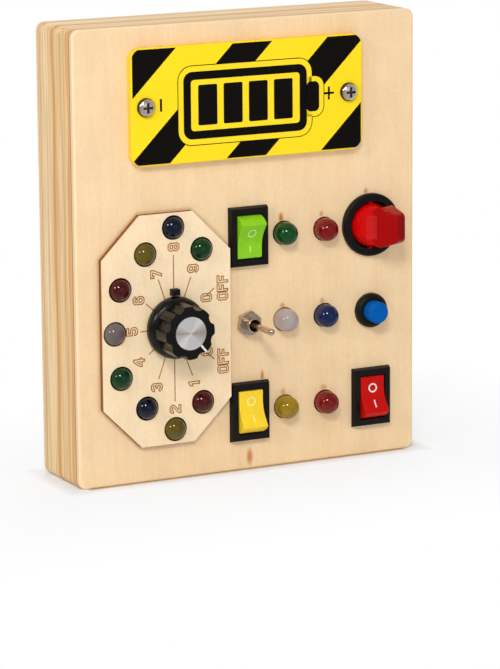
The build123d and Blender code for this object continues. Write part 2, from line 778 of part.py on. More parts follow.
def rocker(x, z, tilt):
    """A rocker with two wings and ends that are arcs about its pivot, tilted to its rest position."""
    def on_end(angle, side):
        reach = rocker_end_radius * cos(radians(angle))
        return (-rocker_end_radius * sin(radians(angle)), side * reach)

    middle_angle = (rocker_root_angle + rocker_crest_angle) / 2
    end_angles = (rocker_root_angle, middle_angle, rocker_crest_angle)
    ends = [
        ThreePointArc(*(on_end(angle, side) for angle in end_angles)) for side in (-1, 1)
    ]
    wings = Polyline(
        on_end(rocker_crest_angle, -1), (-rocker_valley_height, 0), on_end(rocker_crest_angle, 1)
    )
    root = Line(on_end(rocker_root_angle, -1), on_end(rocker_root_angle, 1))
    profile = make_face(ends[0] + ends[1] + wings + root)
    valley = profile.vertices().sort_by_distance((-rocker_valley_height, 0, 0))[0]
    profile = fillet(valley, rocker_valley_radius)
    crests = profile.vertices().group_by(Axis.X)[0]
    profile = fillet(crests, rocker_crest_radius)
    body = extrude(Plane.YZ * profile, amount=rocker_width / 2, both=True)
    root_y = profile.bounding_box().max.X
    side_edges = body.edges().filter_by(
        lambda edge: abs(edge.center().X) > rocker_width / 2 - 0.01 and edge.center().Y < root_y - 0.01
    )
    body = fillet(side_edges, rocker_edge_radius)
    pivot_reach = rocker_width / 2 + rocker_side_gap + rocker_pivot_length
    body += Rot(0, 90, 0) * Cylinder(rocker_pivot_radius, 2 * pivot_reach)
    return Pos(x, front_y, z) * Rot(tilt, 0, 0) * body


def make_rockers():
    terminals = []
    terminal_y = front_y + rocker_body_depth
    for colour, (x, z, tilt) in rockers.items():
        nodes["rocker_housing_" + colour] = rocker_housing(x, z)
        nodes["rocker_" + colour] = rocker(x, z, tilt)
        for terminal_z in spread(z, rocker_terminal_spacing):
            terminals.append(
                bar(
                    x,
                    terminal_z,
                    rocker_terminal_width,
                    rocker_terminal_thickness,
                    terminal_y,
                    terminal_y + rocker_terminal_length,
                )
            )
    nodes["rocker_terminals"] = Compound(terminals)


def spread(middle, spacing):
    return [middle - spacing / 2, middle + spacing / 2]


# ---- Round paddle switch ---------------------------------------------------------------------
def make_paddle():
    x, z = right_column_x, upper_row_z
    body_back_y = front_y + paddle_body_depth
    bezel_y = front_y - paddle_bezel_proud
    well_radius = paddle_dome_radius + paddle_dome_gap
    bezel = disc(0, 0, paddle_bezel_radius, bezel_y, front_y)
    bezel = fillet(bezel.faces().sort_by(Axis.Y)[0].edges(), paddle_bezel_edge_radius)
    housing = bezel + disc(0, 0, paddle_body_radius, front_y, body_back_y)
    housing -= disc(0, 0, well_radius, bezel_y, front_y + paddle_well_depth)
    pivot_reach = well_radius + paddle_pivot_length
    hole_length = 2 * (pivot_reach + pivot_end_clearance)
    housing -= Pos(0, front_y, 0) * Cylinder(paddle_pivot_radius + running_clearance, hole_length)
    nodes["paddle_housing"] = Pos(x, 0, z) * housing

    dome = Sphere(paddle_dome_radius)
    dome -= Pos(0, paddle_root_depth + paddle_dome_radius, 0) * Box(
        2 * paddle_dome_radius, 2 * paddle_dome_radius, 2 * paddle_dome_radius
    )
    side_view = [
        (paddle_root_thickness / 2, -paddle_scoop_reach),
        (paddle_waist_thickness / 2, -paddle_waist_reach),
        (paddle_tip_thickness / 2, -paddle_reach),
    ]
    side_view += [(-across, reach) for across, reach in reversed(side_view)]
    stem = [(-paddle_root_thickness / 2, 0), (paddle_root_thickness / 2, 0)]
    section = make_face(Polyline(*side_view, *stem, close=True))
    section = extrude(section, amount=paddle_shoulder_height, both=True)
    wide = paddle_dome_radius + paddle_dome_gap
    root = [(-wide, -paddle_scoop_reach), (-wide, wide), (wide, wide), (wide, -paddle_scoop_reach)]
    scooped = make_face(Polyline(*side_view, *root, close=True))
    dome &= extrude(scooped, amount=wide, both=True)
    corners = [
        (0, -paddle_root_height / 2),
        (-paddle_shoulder_reach, -paddle_shoulder_height / 2),
        (-paddle_reach, -paddle_tip_height / 2),
        (-paddle_reach, paddle_tip_height / 2),
        (-paddle_shoulder_reach, paddle_shoulder_height / 2),
        (0, paddle_root_height / 2),
    ]
    outline = make_face(Polyline(*corners, close=True))
    outline = fillet(outline.vertices().group_by(Axis.X)[0], paddle_tip_corner_radius)
    shoulder_corners = outline.vertices().filter_by(
        lambda corner: abs(abs(corner.Y) - paddle_shoulder_height / 2) < 0.01
    )
    outline = fillet(shoulder_corners, paddle_shoulder_radius)
    blade = section & extrude(Plane.YZ * outline, amount=paddle_root_thickness, both=True)
    blade_edges = blade.edges().filter_by(
        lambda edge: edge.center().Y < -paddle_shoulder_reach and abs(edge.center().X) > 0.1
    )
    blade = fillet(blade_edges, paddle_edge_radius)
    pivot_length = 2 * (well_radius + paddle_pivot_length)
    lever = dome + blade + Cylinder(paddle_pivot_radius, pivot_length)
    nodes["paddle_lever"] = Pos(x, front_y, z) * Rot(0, 0, paddle_tilt) * lever
    nodes["paddle_terminals"] = Compound(
        [
            bar(
                x,
                terminal_z,
                rocker_terminal_width,
                rocker_terminal_thickness,
                body_back_y,
                body_back_y + rocker_terminal_length,
            )
            for terminal_z in spread(z, paddle_terminal_spacing)
        ]
    )


# ---- Bat-handle toggle switch ----------------------------------------------------------------
def make_toggle():
    """Built about the Y axis with its throw along +X, then turned by the throw angle."""
    turned_in_place = Pos(rocker_column_x, 0, middle_row_z) * Rot(0, -toggle_throw_angle, 0)
    body_back_y = panel_back_y + toggle_body_depth
    pivot_y = front_y - toggle_pivot_proud
    body = bar(0, 0, toggle_body_width, toggle_body_height, panel_back_y, body_back_y)
    body -= bar(
        0,
        0,
        toggle_body_width - 2 * toggle_body_wall,
        toggle_body_height - 2 * toggle_body_wall,
        panel_back_y,
        body_back_y - toggle_body_wall,
    )
    nodes["toggle_body"] = turned_in_place * body

    mouth_y = front_y - toggle_bushing_proud
    bushing = disc(0, 0, toggle_bushing_radius, mouth_y, panel_back_y)
    bushing = chamfer(bushing.faces().sort_by(Axis.Y)[0].edges(), toggle_bushing_chamfer)
    seat_y = pivot_y - toggle_bore_radius
    bore = turned(
        Polyline(
            (0, mouth_y),
            (toggle_mouth_radius, mouth_y),
            (toggle_bore_radius, seat_y),
            (toggle_bore_radius, pivot_y + toggle_bore_radius),
            (toggle_mouth_radius, panel_back_y),
            (0, panel_back_y),
            close=True,
        )
    )
    nodes["toggle_bushing"] = turned_in_place * (bushing - bore)
    nut_y = front_y - toggle_nut_thickness
    nut = hexagon(0, 0, toggle_nut_across_flats, nut_y, front_y)
    corner_radius = toggle_nut_across_flats / 2 / cos(radians(30))
    bevel = turned(
        Polyline(
            (0, nut_y),
            (corner_radius - 2 * toggle_nut_chamfer, nut_y),
            (corner_radius, nut_y + toggle_nut_chamfer),
            (corner_radius, front_y),
            (0, front_y),
            close=True,
        )
    )
    nut = (nut & bevel) - disc(0, 0, toggle_bushing_radius, nut_y, front_y)
    nodes["toggle_nut"] = turned_in_place * Rot(0, toggle_nut_turn, 0) * nut

    ball_radius = toggle_bore_radius - running_clearance
    end_y = -toggle_lever_reach + toggle_lever_end_radius
    shaft = Polyline((0, 0), (toggle_lever_root_radius, 0), (toggle_lever_end_radius, end_y))
    cap = CenterArc((0, end_y), toggle_lever_end_radius, -90, 90)
    handle = turned(shaft + cap + Line((0, -toggle_lever_reach), (0, 0)))
    tail = disc(0, 0, toggle_tail_radius, 0, toggle_tail_length)
    lever = handle + Sphere(ball_radius) + tail
    tilted = Pos(0, pivot_y, 0) * Rot(0, 0, toggle_tilt) * lever
    nodes["toggle_lever"] = turned_in_place * tilted

    terminals = [
        turned_in_place
        * bar(
            place,
            0,
            toggle_terminal_thickness,
            toggle_terminal_width,
            body_back_y,
            body_back_y + toggle_terminal_length,
        )
        for place in (-toggle_terminal_spacing, 0, toggle_terminal_spacing)
    ]
    nodes["toggle_terminals"] = Compound(terminals)


# ---- Push button -----------------------------------------------------------------------------
def make_button():
    x, z = right_column_x, middle_row_z
    bezel_y = front_y - button_bezel_proud
    body_back_y = front_y + button_body_depth
    underside_y = front_y + button_cap_underside_depth
    shelf_y = underside_y + button_spring_length
    well_radius = button_cap_radius + button_cap_gap
    bezel = disc(x, z, button_bezel_radius, bezel_y, front_y)
    bezel = fillet(bezel.faces().sort_by(Axis.Y)[0].edges(), button_bezel_edge_radius)
    housing = bezel + disc(x, z, button_body_radius, front_y, body_back_y)
    housing -= disc(x, z, well_radius, bezel_y, shelf_y)
    stem_bore_y = body_back_y - button_stem_end_wall
    housing -= disc(x, z, button_stem_radius + running_clearance, shelf_y, stem_bore_y)
    nodes["button_housing"] = housing

    cap_y = front_y - button_cap_proud
    stem_end_y = stem_bore_y - button_travel - button_stem_gap
    cap = disc(x, z, button_cap_radius, cap_y, underside_y)
    cap = fillet(cap.faces().sort_by(Axis.Y)[0].edges(), button_cap_edge_radius)
    nodes["button_cap"] = cap + disc(x, z, button_stem_radius, underside_y, stem_end_y)

    coil_height = button_spring_length - 2 * button_spring_wire_radius
    coil = Helix(coil_height / button_spring_turns, coil_height, button_spring_radius)
    section = Plane(origin=coil @ 0, z_dir=coil % 0) * Circle(button_spring_wire_radius)
    spring = sweep(section, path=coil)
    spring_y = shelf_y - button_spring_wire_radius
    nodes["button_spring"] = Pos(x, spring_y, z) * Rot(90, 0, 0) * spring

    nut_back_y = panel_back_y + button_nut_thickness
    nut = hexagon(x, z, button_nut_across_flats, panel_back_y, nut_back_y)
    nodes["button_nut"] = nut - disc(x, z, button_body_radius, panel_back_y, nut_back_y)
    nodes["button_terminals"] = Compound(
        [
            bar(
                x,
                terminal_z,
                toggle_terminal_width,
                toggle_terminal_thickness,
                body_back_y,
                body_back_y + toggle_terminal_length,
            )
            for terminal_z in spread(z, button_terminal_spacing)
        ]
    )


# ---- Battery compartment ---------------------------------------------------------------------
cell_bay_length = cell_length + cell_nub_length + tray_end_room
cell_bay_height = 4 * cell_radius + cell_gap
tray_outer_width = cell_bay_length + 2 * (tray_wall + tray_boss_width)
tray_outer_height = cell_bay_height + 2 * tray_wall
cover_back_y = back_y - cover_sink
cover_y = cover_back_y - cover_thickness
tray_floor_y = cover_y - 2 * cell_radius - cell_gap
cell_y = cover_y - cell_gap / 2 - cell_radius
cover_screws_x = [
    tray_x + side * (cell_bay_length + 2 * tray_wall + tray_boss_width) / 2 for side in (-1, 1)
]


def make_battery_tray():
    tray = plate(tray_outline(), tray_floor_y - tray_floor, back_y)
    tray += plate(
        tray_outline(tray_flange_width), back_inner_y - tray_flange_thickness, back_inner_y
    )
    tray -= bar(tray_x, tray_z, cell_bay_length, cell_bay_height, tray_floor_y, back_y)
    seat = Rectangle(tray_outer_width - 2 * cover_ledge, tray_outer_height - 2 * cover_ledge)
    tray -= plate(Pos(tray_x, tray_z) * seat, cover_y, back_y)
    for screw_x in cover_screws_x:
        bore_radius = cover_screw_radius + running_clearance
        tray -= disc(screw_x, tray_z, bore_radius, cover_y - cover_screw_length, cover_y)
    for contact_x in contact_tabs_x():
        slot_z = tray_z - cell_bay_height / 2 - tray_wall / 2
        slot = Box(contact_thickness, contact_tab_width, tray_wall)
        tray -= Pos(contact_x, cell_y, slot_z) * slot
    nodes["battery_tray"] = tray

    cover_width = tray_outer_width - 2 * cover_ledge - 2 * cover_gap
    cover_height = tray_outer_height - 2 * cover_ledge - 2 * cover_gap
    cover = bar(tray_x, tray_z, cover_width, cover_height, cover_y, cover_back_y)
    head_seat_y = cover_back_y - cover_screw_head_height
    screw = pan_screw(
        cover_screw_head_radius,
        cover_screw_head_height,
        cover_screw_radius,
        cover_screw_length + cover_thickness - cover_screw_head_height - cover_screw_end_gap,
    )
    screws = []
    for screw_x in cover_screws_x:
        cover -= disc(screw_x, tray_z, cover_screw_head_radius, head_seat_y, cover_back_y)
        cover -= disc(screw_x, tray_z, cover_screw_radius, cover_y, cover_back_y)
        screws.append(Pos(screw_x, head_seat_y, tray_z) * Rot(0, 0, 180) * screw)
    nodes["battery_cover"] = cover
    nodes["battery_cover_screws"] = Compound(screws)


def contact_tabs_x():
    """The two ends of the cell bay, where the contact plates stand."""
    reach = cell_bay_length / 2 - contact_thickness / 2
    return [tray_x - reach, tray_x + reach]


def make_batteries():
    cells = []
    contacts = []
    spring_room = cell_bay_length - cell_length - cell_nub_length - 2 * contact_thickness
    for row, side in ((-1, -1), (1, 1)):
        z = tray_z + row * (cell_radius + cell_gap / 2)
        nub_x = tray_x + side * (cell_bay_length / 2 - contact_thickness)
        along = Pos(nub_x, cell_y, z) * Rot(0, -90 * side, 0)
        bottom = Align.CENTER, Align.CENTER, Align.MIN
        nub = Cylinder(cell_nub_radius, cell_nub_length, align=bottom)
        can = Pos(0, 0, cell_nub_length) * Cylinder(cell_radius, cell_length, align=bottom)
        cells.append(along * (nub + can))
        spring_z = cell_nub_length + cell_length
        spring = Cone(cell_nub_radius, 0.9 * cell_nub_radius, spring_room, align=bottom)
        contacts.append(along * Pos(0, 0, spring_z) * spring)
    for contact_x in contact_tabs_x():
        blade = Pos(contact_x, cell_y, tray_z) * Box(contact_thickness, contact_width, cell_bay_height)
        tab_length = tray_wall + contact_tab_length
        tab_z = tray_z - cell_bay_height / 2 - tab_length / 2
        blade += Pos(contact_x, cell_y, tab_z) * Box(contact_thickness, contact_tab_width, tab_length)
        contacts.append(blade)
    nodes["batteries"] = Compound(cells)
    nodes["battery_contacts"] = Compound(contacts)


# ---- Internal leads --------------------------------------------------------------------------
def make_wiring():
    wires = []
    middle_x = (left_lamp_column_x + right_lamp_column_x) / 2

    rocker_end_y = front_y + rocker_body_depth + rocker_terminal_length
    toggle_end_y = panel_back_y + toggle_body_depth + toggle_terminal_length
    button_end_y = front_y + button_body_depth + toggle_terminal_length
    throw = radians(toggle_throw_angle)
    toggle_x = toggle_terminal_spacing * cos(throw)
    toggle_z = toggle_terminal_spacing * sin(throw)
    starts = []
    for x, z, _ in rockers.values():
        starts += [(x, rocker_end_y, place) for place in spread(z, rocker_terminal_spacing)]
    starts += [
        (right_column_x, front_y + paddle_body_depth + rocker_terminal_length, place)
        for place in spread(upper_row_z, paddle_terminal_spacing)
    ]
    starts += [
        (right_column_x, button_end_y, place) for place in spread(middle_row_z, button_terminal_spacing)
    ]
    starts += [
        (rocker_column_x + side * toggle_x, toggle_end_y, middle_row_z + side * toggle_z)
        for side in (-1, 1)
    ]
    for x, y, z in starts:
        pad_x = middle_x + (wire_pad_offset if x > middle_x else -wire_pad_offset)
        turn_y = y + wire_stub
        wires.append(
            wire(
                [
                    (x, y, z),
                    (x, turn_y, z),
                    (pad_x, turn_y - wire_drop, z),
                    (pad_x, panel_board_back_y, z),
                ]
            )
        )

    tab_z = tray_z - cell_bay_height / 2 - tray_wall - contact_tab_length
    pad_z = upper_row_z + lamp_flange_radius + wire_drop
    for tab_x, side in zip(contact_tabs_x(), (-1, 1)):
        pad_x = middle_x + side * battery_wire_pad_offset
        wires.append(
            wire(
                [
                    (tab_x, cell_y, tab_z),
                    (tab_x, cell_y, tab_z - battery_wire_stub),
                    (pad_x, cell_y - battery_wire_stub, pad_z + battery_wire_stub),
                    (pad_x, panel_board_back_y + battery_wire_stub, pad_z),
                    (pad_x, panel_board_back_y, pad_z),
                ]
            )
        )

    link_z = (upper_row_z + middle_row_z) / 2
    link_from_x = max(x for x, _ in dial_lamps)
    for z in spread(link_z, wire_spacing):
        over_y = dial_board_back_y + link_wire_rise
        wires.append(
            wire(
                [
                    (link_from_x, dial_board_back_y, z),
                    (link_from_x, over_y, z),
                    (left_lamp_column_x, over_y, z),
                    (left_lamp_column_x, panel_board_back_y, z),
                ]
            )
        )

    pin_end_y = rotary_back_y + rotary_wafer_thickness + rotary_pin_length
    over_y = pin_end_y + pin_wire_rise
    pins = rotary_pin_places(rotary_pin_circle_radius)
    pads = rotary_pin_places(rotary_body_radius + dial_board_opening_clearance + pin_wire_pad_gap)
    for (pin_x, pin_z), (pad_x, pad_z) in zip(pins, pads):
        wires.append(
            wire(
                [
                    (pin_x, pin_end_y, pin_z),
                    (pin_x, over_y, pin_z),
                    (pad_x, over_y, pad_z),
                    (pad_x, dial_board_back_y, pad_z),
                ]
            )
        )
    nodes["wiring"] = Compound(wires)


make_case()
make_hazard_plate()
make_dial_plate()
make_lamps()
make_boards()
make_rotary_switch()
make_knob()
make_rockers()
make_paddle()
make_toggle()
make_button()
make_battery_tray()
make_batteries()
make_wiring()

os.makedirs("parts", exist_ok=True)
for name, shape in nodes.items():
    shape.label = name
    export_step(shape, "parts/" + name + ".step")
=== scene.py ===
import json
from math import atan2, cos, pi, radians, sin

import bmesh
import bpy
from mathutils import Matrix, Quaternion, Vector
from mathutils.bvhtree import BVHTree


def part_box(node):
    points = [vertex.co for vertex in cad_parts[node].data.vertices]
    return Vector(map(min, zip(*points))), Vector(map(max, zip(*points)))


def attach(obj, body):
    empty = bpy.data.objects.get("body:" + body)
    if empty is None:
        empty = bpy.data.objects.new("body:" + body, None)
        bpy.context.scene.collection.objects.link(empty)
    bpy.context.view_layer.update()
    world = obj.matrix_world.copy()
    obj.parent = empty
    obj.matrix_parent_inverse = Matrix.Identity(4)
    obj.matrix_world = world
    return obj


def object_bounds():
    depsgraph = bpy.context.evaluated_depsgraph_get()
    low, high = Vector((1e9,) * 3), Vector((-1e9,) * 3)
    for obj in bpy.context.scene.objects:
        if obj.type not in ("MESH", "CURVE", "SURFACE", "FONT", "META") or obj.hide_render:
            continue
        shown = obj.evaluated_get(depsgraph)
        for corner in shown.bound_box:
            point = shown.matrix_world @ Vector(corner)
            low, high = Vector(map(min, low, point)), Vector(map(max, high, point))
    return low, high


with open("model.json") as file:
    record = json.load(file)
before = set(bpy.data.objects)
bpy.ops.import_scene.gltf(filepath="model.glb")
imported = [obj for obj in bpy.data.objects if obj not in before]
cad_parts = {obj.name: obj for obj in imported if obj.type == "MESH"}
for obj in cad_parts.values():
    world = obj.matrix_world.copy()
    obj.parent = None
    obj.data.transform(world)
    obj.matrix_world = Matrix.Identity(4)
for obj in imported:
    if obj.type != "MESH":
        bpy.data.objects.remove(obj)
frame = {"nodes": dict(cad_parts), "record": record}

# Looks of the electric busy board: finishes, burnt and printed marks, camera, lamps and floor.
# Metres, in the frame's own axes: X to the right, the front faces -Y, Z up.

cad_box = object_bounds()
nodes = frame["nodes"]
MM = 0.001

half_width = cad_box[1].x
half_height = cad_box[1].z / 2
front_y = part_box("front_panel")[0].y
dial_face_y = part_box("dial_plate")[0].y
stripe_face_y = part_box("hazard_plate")[0].y


def middle(node):
    """The centre of a node's box."""
    low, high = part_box(node)
    return (low + high) / 2


dial_axis = middle("knob_cap")


# ---- Adding nodes and materials --------------------------------------------------------------
def linear(code):
    """An sRGB hex colour as linear red, green, blue and alpha."""
    channels = [int(code[place : place + 2], 16) / 255 for place in (1, 3, 5)]
    return [c / 12.92 if c <= 0.04045 else ((c + 0.055) / 1.055) ** 2.4 for c in channels] + [1.0]


def add(tree, kind, inputs=None, stops=None, **settings):
    """Adds a node with its settings, joins or sets its inputs and gives its outputs.

    Inputs go by number or name. A Mix node's two values are inputs 2 and 3 for numbers, 4 and 5
    for vectors and 6 and 7 for colours. A Map Range takes the range 1 to 2 to the range 3 to 4.
    """
    node = tree.nodes.new("ShaderNode" + kind)
    for name, value in settings.items():
        setattr(node, name, value)
    for place, value in (inputs or {}).items():
        if isinstance(value, bpy.types.NodeSocket):
            tree.links.new(value, node.inputs[place])
        else:
            node.inputs[place].default_value = value
    if stops:
        elements = node.color_ramp.elements
        for place, code in stops[1:-1]:
            elements.new(place)
        for element, (place, code) in zip(elements, stops):
            element.position = place
            element.color = linear(code)
    return node.outputs


def new_material(name, **sockets):
    """A material with its shader's own sockets set, and its tree, shader and object coordinates."""
    made = bpy.data.materials.new(name)
    made.use_nodes = True
    tree = made.node_tree
    shader = tree.nodes["Principled BSDF"]
    for socket, value in sockets.items():
        shader.inputs[socket.replace("_", " ")].default_value = value
    return made, tree, shader, add(tree, "TexCoord")


def join(tree, value, shader, socket):
    """Joins a node's output to one of the shader's sockets."""
    tree.links.new(value, shader.inputs[socket])


# ---- Patterns --------------------------------------------------------------------------------
# Noise keeps mostly between the first two values; cut off at the other two, it is starker.
noise_low, noise_high = 0.3, 0.7
stark_low, stark_high = 0.35, 0.65


def streaks(tree, place, across, along, detail=3.0, axis=2):
    """Noise drawn out along one axis, as wood fibre is: its width and length in millimetres."""
    scale = [1 / (across * MM)] * 3
    scale[axis] = 1 / (along * MM)
    stretched = add(tree, "Mapping", {0: place, "Scale": scale})[0]
    noise = {0: stretched, "Scale": 1.0, "Detail": detail, "Roughness": 0.55}
    return add(tree, "TexNoise", noise)[0]


def bumped(tree, shader, height, depth):
    """Joins a height pattern to the shader, its full depth in millimetres."""
    bump = add(tree, "Bump", {"Height": height, "Distance": depth * MM, "Strength": 1.0})[0]
    join(tree, bump, shader, "Normal")


def moulded(tree, shader, coordinates, grain, depth, roughness):
    """Fine grain of a moulded surface: bump of a grain size and depth, and uneven gloss."""
    place = coordinates["Object"]
    patch_size = 6 * MM
    glossy, dull = 0.8 * roughness, 1.25 * roughness
    fine = add(tree, "TexNoise", {0: place, "Scale": 1 / (grain * MM), "Detail": 2.0})[0]
    broad = add(tree, "TexNoise", {0: place, "Scale": 1 / patch_size, "Detail": 3.0})[0]
    gloss = add(tree, "MapRange", {0: broad, 1: noise_low, 2: noise_high, 3: glossy, 4: dull})[0]
    join(tree, gloss, shader, "Roughness")
    bumped(tree, shader, fine, depth)


def faces_along(tree, coordinates, axis, least):
    """1 on faces whose normal has at least this share along an axis, either way."""
    share = add(tree, "SeparateXYZ", {0: coordinates["Normal"]})[axis]
    share = add(tree, "Math", {0: share}, operation="ABSOLUTE")[0]
    return add(tree, "Math", {0: share, 1: least}, operation="GREATER_THAN")[0]


def faces_front(tree, coordinates):
    """1 on faces that look to the front or back, 0 on the sides and in the holes."""
    return faces_along(tree, coordinates, 1, least=0.6)


def near(tree, coordinates, x, z, inner, outer, stretch=1.0):
    """1 within the inner radius of a point of the front, falling to 0 at the outer, in metres."""
    flat = add(
        tree,
        "Mapping",
        {0: coordinates["Object"], 1: (-x, 0, -z / stretch), 3: (1, 0, 1 / stretch)},
        vector_type="POINT",
    )[0]
    distance = add(tree, "VectorMath", {0: flat}, operation="LENGTH")["Value"]
    return add(
        tree,
        "MapRange",
        {0: distance, 1: inner, 2: outer, 3: 1.0, 4: 0.0},
        interpolation_type="SMOOTHSTEP",
    )[0]


def off_centre(tree, place, centre):
    """How far a coordinate is from a centre, on either side of it."""
    offset = add(tree, "Math", {0: place, 1: centre}, operation="SUBTRACT")[0]
    return add(tree, "Math", {0: offset}, operation="ABSOLUTE")[0]


def beyond_box(tree, places, centres, halves):
    """Metres outside a rectangle in two coordinates, below 0 within it."""
    past = [
        add(tree, "Math", {0: off_centre(tree, place, centre), 1: half}, operation="SUBTRACT")[0]
        for place, centre, half in zip(places, centres, halves)
    ]
    return add(tree, "Math", {0: past[0], 1: past[1]}, operation="MAXIMUM")[0]


def beyond_dial(tree, x, z):
    """Metres outside the dial plate's octagon, below 0 within it."""
    corner_cut = 14.3 * MM
    low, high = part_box("dial_plate")
    centre, half = (low + high) / 2, (high - low) / 2
    reach = half.x + half.z - corner_cut
    slant = add(tree, "Math", {0: off_centre(tree, x, centre.x), 1: off_centre(tree, z, centre.z)})[0]
    slant = add(tree, "Math", {0: slant, 1: reach}, operation="SUBTRACT")[0]
    slant = add(tree, "Math", {0: slant, 1: cos(pi / 4)}, operation="MULTIPLY")[0]
    straight = beyond_box(tree, (x, z), (centre.x, centre.z), (half.x, half.z))
    return add(tree, "Math", {0: slant, 1: straight}, operation="MAXIMUM")[0]


# ---- Woods -----------------------------------------------------------------------------------
def birch_plywood(name, face, edge, burns=(), knot=None, burnt_rim=False):
    """Rotary-cut birch: pale, with faint upright fibre and pores, darker plies at its edges.

    The face's colours go from its dark fibre to its pale one. The edge is the depth of the
    sheet's front and back and the colours of its plies between them. A burn is a place, an inner
    and an outer radius, a share and a stretch upwards, and a knot is the same without a share.
    The walls of the laser-cut holes are char.
    """
    figure_share = 0.55
    pore_start, pore_full, pore_share = 0.62, 0.75, 0.16
    # The band round the dial plate is a smoke stain together with a painted contact shadow.
    stain_and_shadow_start, stain_and_shadow_end, stain_and_shadow_share = 0.2 * MM, 1.3 * MM, 0.45
    cloud_size, mottle_size, mottle_share = 13 * MM, 1.1 * MM, 0.45
    darkest, palest = 0.95, 1.03
    ply_shade = 0.35
    case_rim, dial_rim = 1.5 * MM, 0.3 * MM
    char, knot_brown = "#3A1E0C", "#CC8044"
    pore_brown, scorch_brown, stain_and_shadow_brown = "#E3B67F", "#CC7A1C", "#C68A4C"

    made, tree, shader, coordinates = new_material(name, Roughness=0.62, IOR=1.5)
    place = coordinates["Object"]
    x, y, z = add(tree, "SeparateXYZ", {0: place})
    fibre = streaks(tree, place, across=0.9, along=26)
    figure = streaks(tree, place, across=7, along=60, detail=2.0)
    grain = add(tree, "Mix", {0: figure_share, 2: fibre, 3: figure})[0]
    wood = add(tree, "ValToRGB", {0: grain}, stops=face)[0]

    pores = streaks(tree, place, across=0.35, along=3.5, detail=1.0)
    limits = {1: pore_start, 2: pore_full, 3: 0.0, 4: pore_share}
    stains = [(add(tree, "MapRange", {0: pores, **limits})[0], pore_brown)]
    for across, height, inner, outer, share, stretch in burns:
        scorch = near(tree, coordinates, across, height, inner, outer, stretch)
        scorch = add(tree, "Math", {0: scorch, 1: share}, operation="MULTIPLY")[0]
        stains.append((scorch, scorch_brown))
    if knot:
        stains.append((near(tree, coordinates, *knot), knot_brown))
    if burns:
        # Smoke of the dial plate's burnt edge browns the panel close round it, with a painted shadow
        # too.
        past_dial = beyond_dial(tree, x, z)
        limits = {1: stain_and_shadow_start, 2: stain_and_shadow_end, 3: stain_and_shadow_share, 4: 0.0}
        stains.append((add(tree, "MapRange", {0: past_dial, **limits})[0], stain_and_shadow_brown))
    for mask, code in stains:
        wood = add(tree, "Mix", {0: mask, 6: wood, 7: linear(code)}, data_type="RGBA")[2]

    cloud = add(tree, "TexNoise", {0: place, "Scale": 1 / cloud_size, "Detail": 2.0})[0]
    mottle = add(tree, "TexNoise", {0: place, "Scale": 1 / mottle_size, "Detail": 2.0})[0]
    cloud = add(tree, "Mix", {0: mottle_share, 2: cloud, 3: mottle})[0]
    limits = {1: stark_low, 2: stark_high, 3: darkest, 4: palest}
    cloud = add(tree, "MapRange", {0: cloud, **limits})[0]
    wood = add(tree, "VectorMath", {0: wood, 3: cloud}, operation="SCALE")[0]

    sheet_front, sheet_back, plies = edge
    depth = add(tree, "MapRange", {0: y, 1: sheet_front, 2: sheet_back})[0]
    ply = add(tree, "ValToRGB", {0: depth}, stops=plies)[0]
    ply = add(
        tree, "Mix", {0: ply_shade, 6: ply, 7: wood}, data_type="RGBA", blend_type="MULTIPLY"
    )[2]
    if burnt_rim:
        outline, rim = beyond_dial(tree, x, z), dial_rim
    else:
        outline = beyond_box(tree, (x, z), (0.0, half_height), (half_width, half_height))
        rim = case_rim
    outer_edge = add(tree, "Math", {0: outline, 1: -rim}, operation="GREATER_THAN")[0]
    side = add(tree, "Mix", {0: outer_edge, 6: linear(char), 7: ply}, data_type="RGBA")[2]
    front = faces_front(tree, coordinates)
    colour = add(tree, "Mix", {0: front, 6: side, 7: wood}, data_type="RGBA")[2]
    join(tree, colour, shader, "Base Color")
    bumped(tree, shader, grain, depth=0.04)
    return made


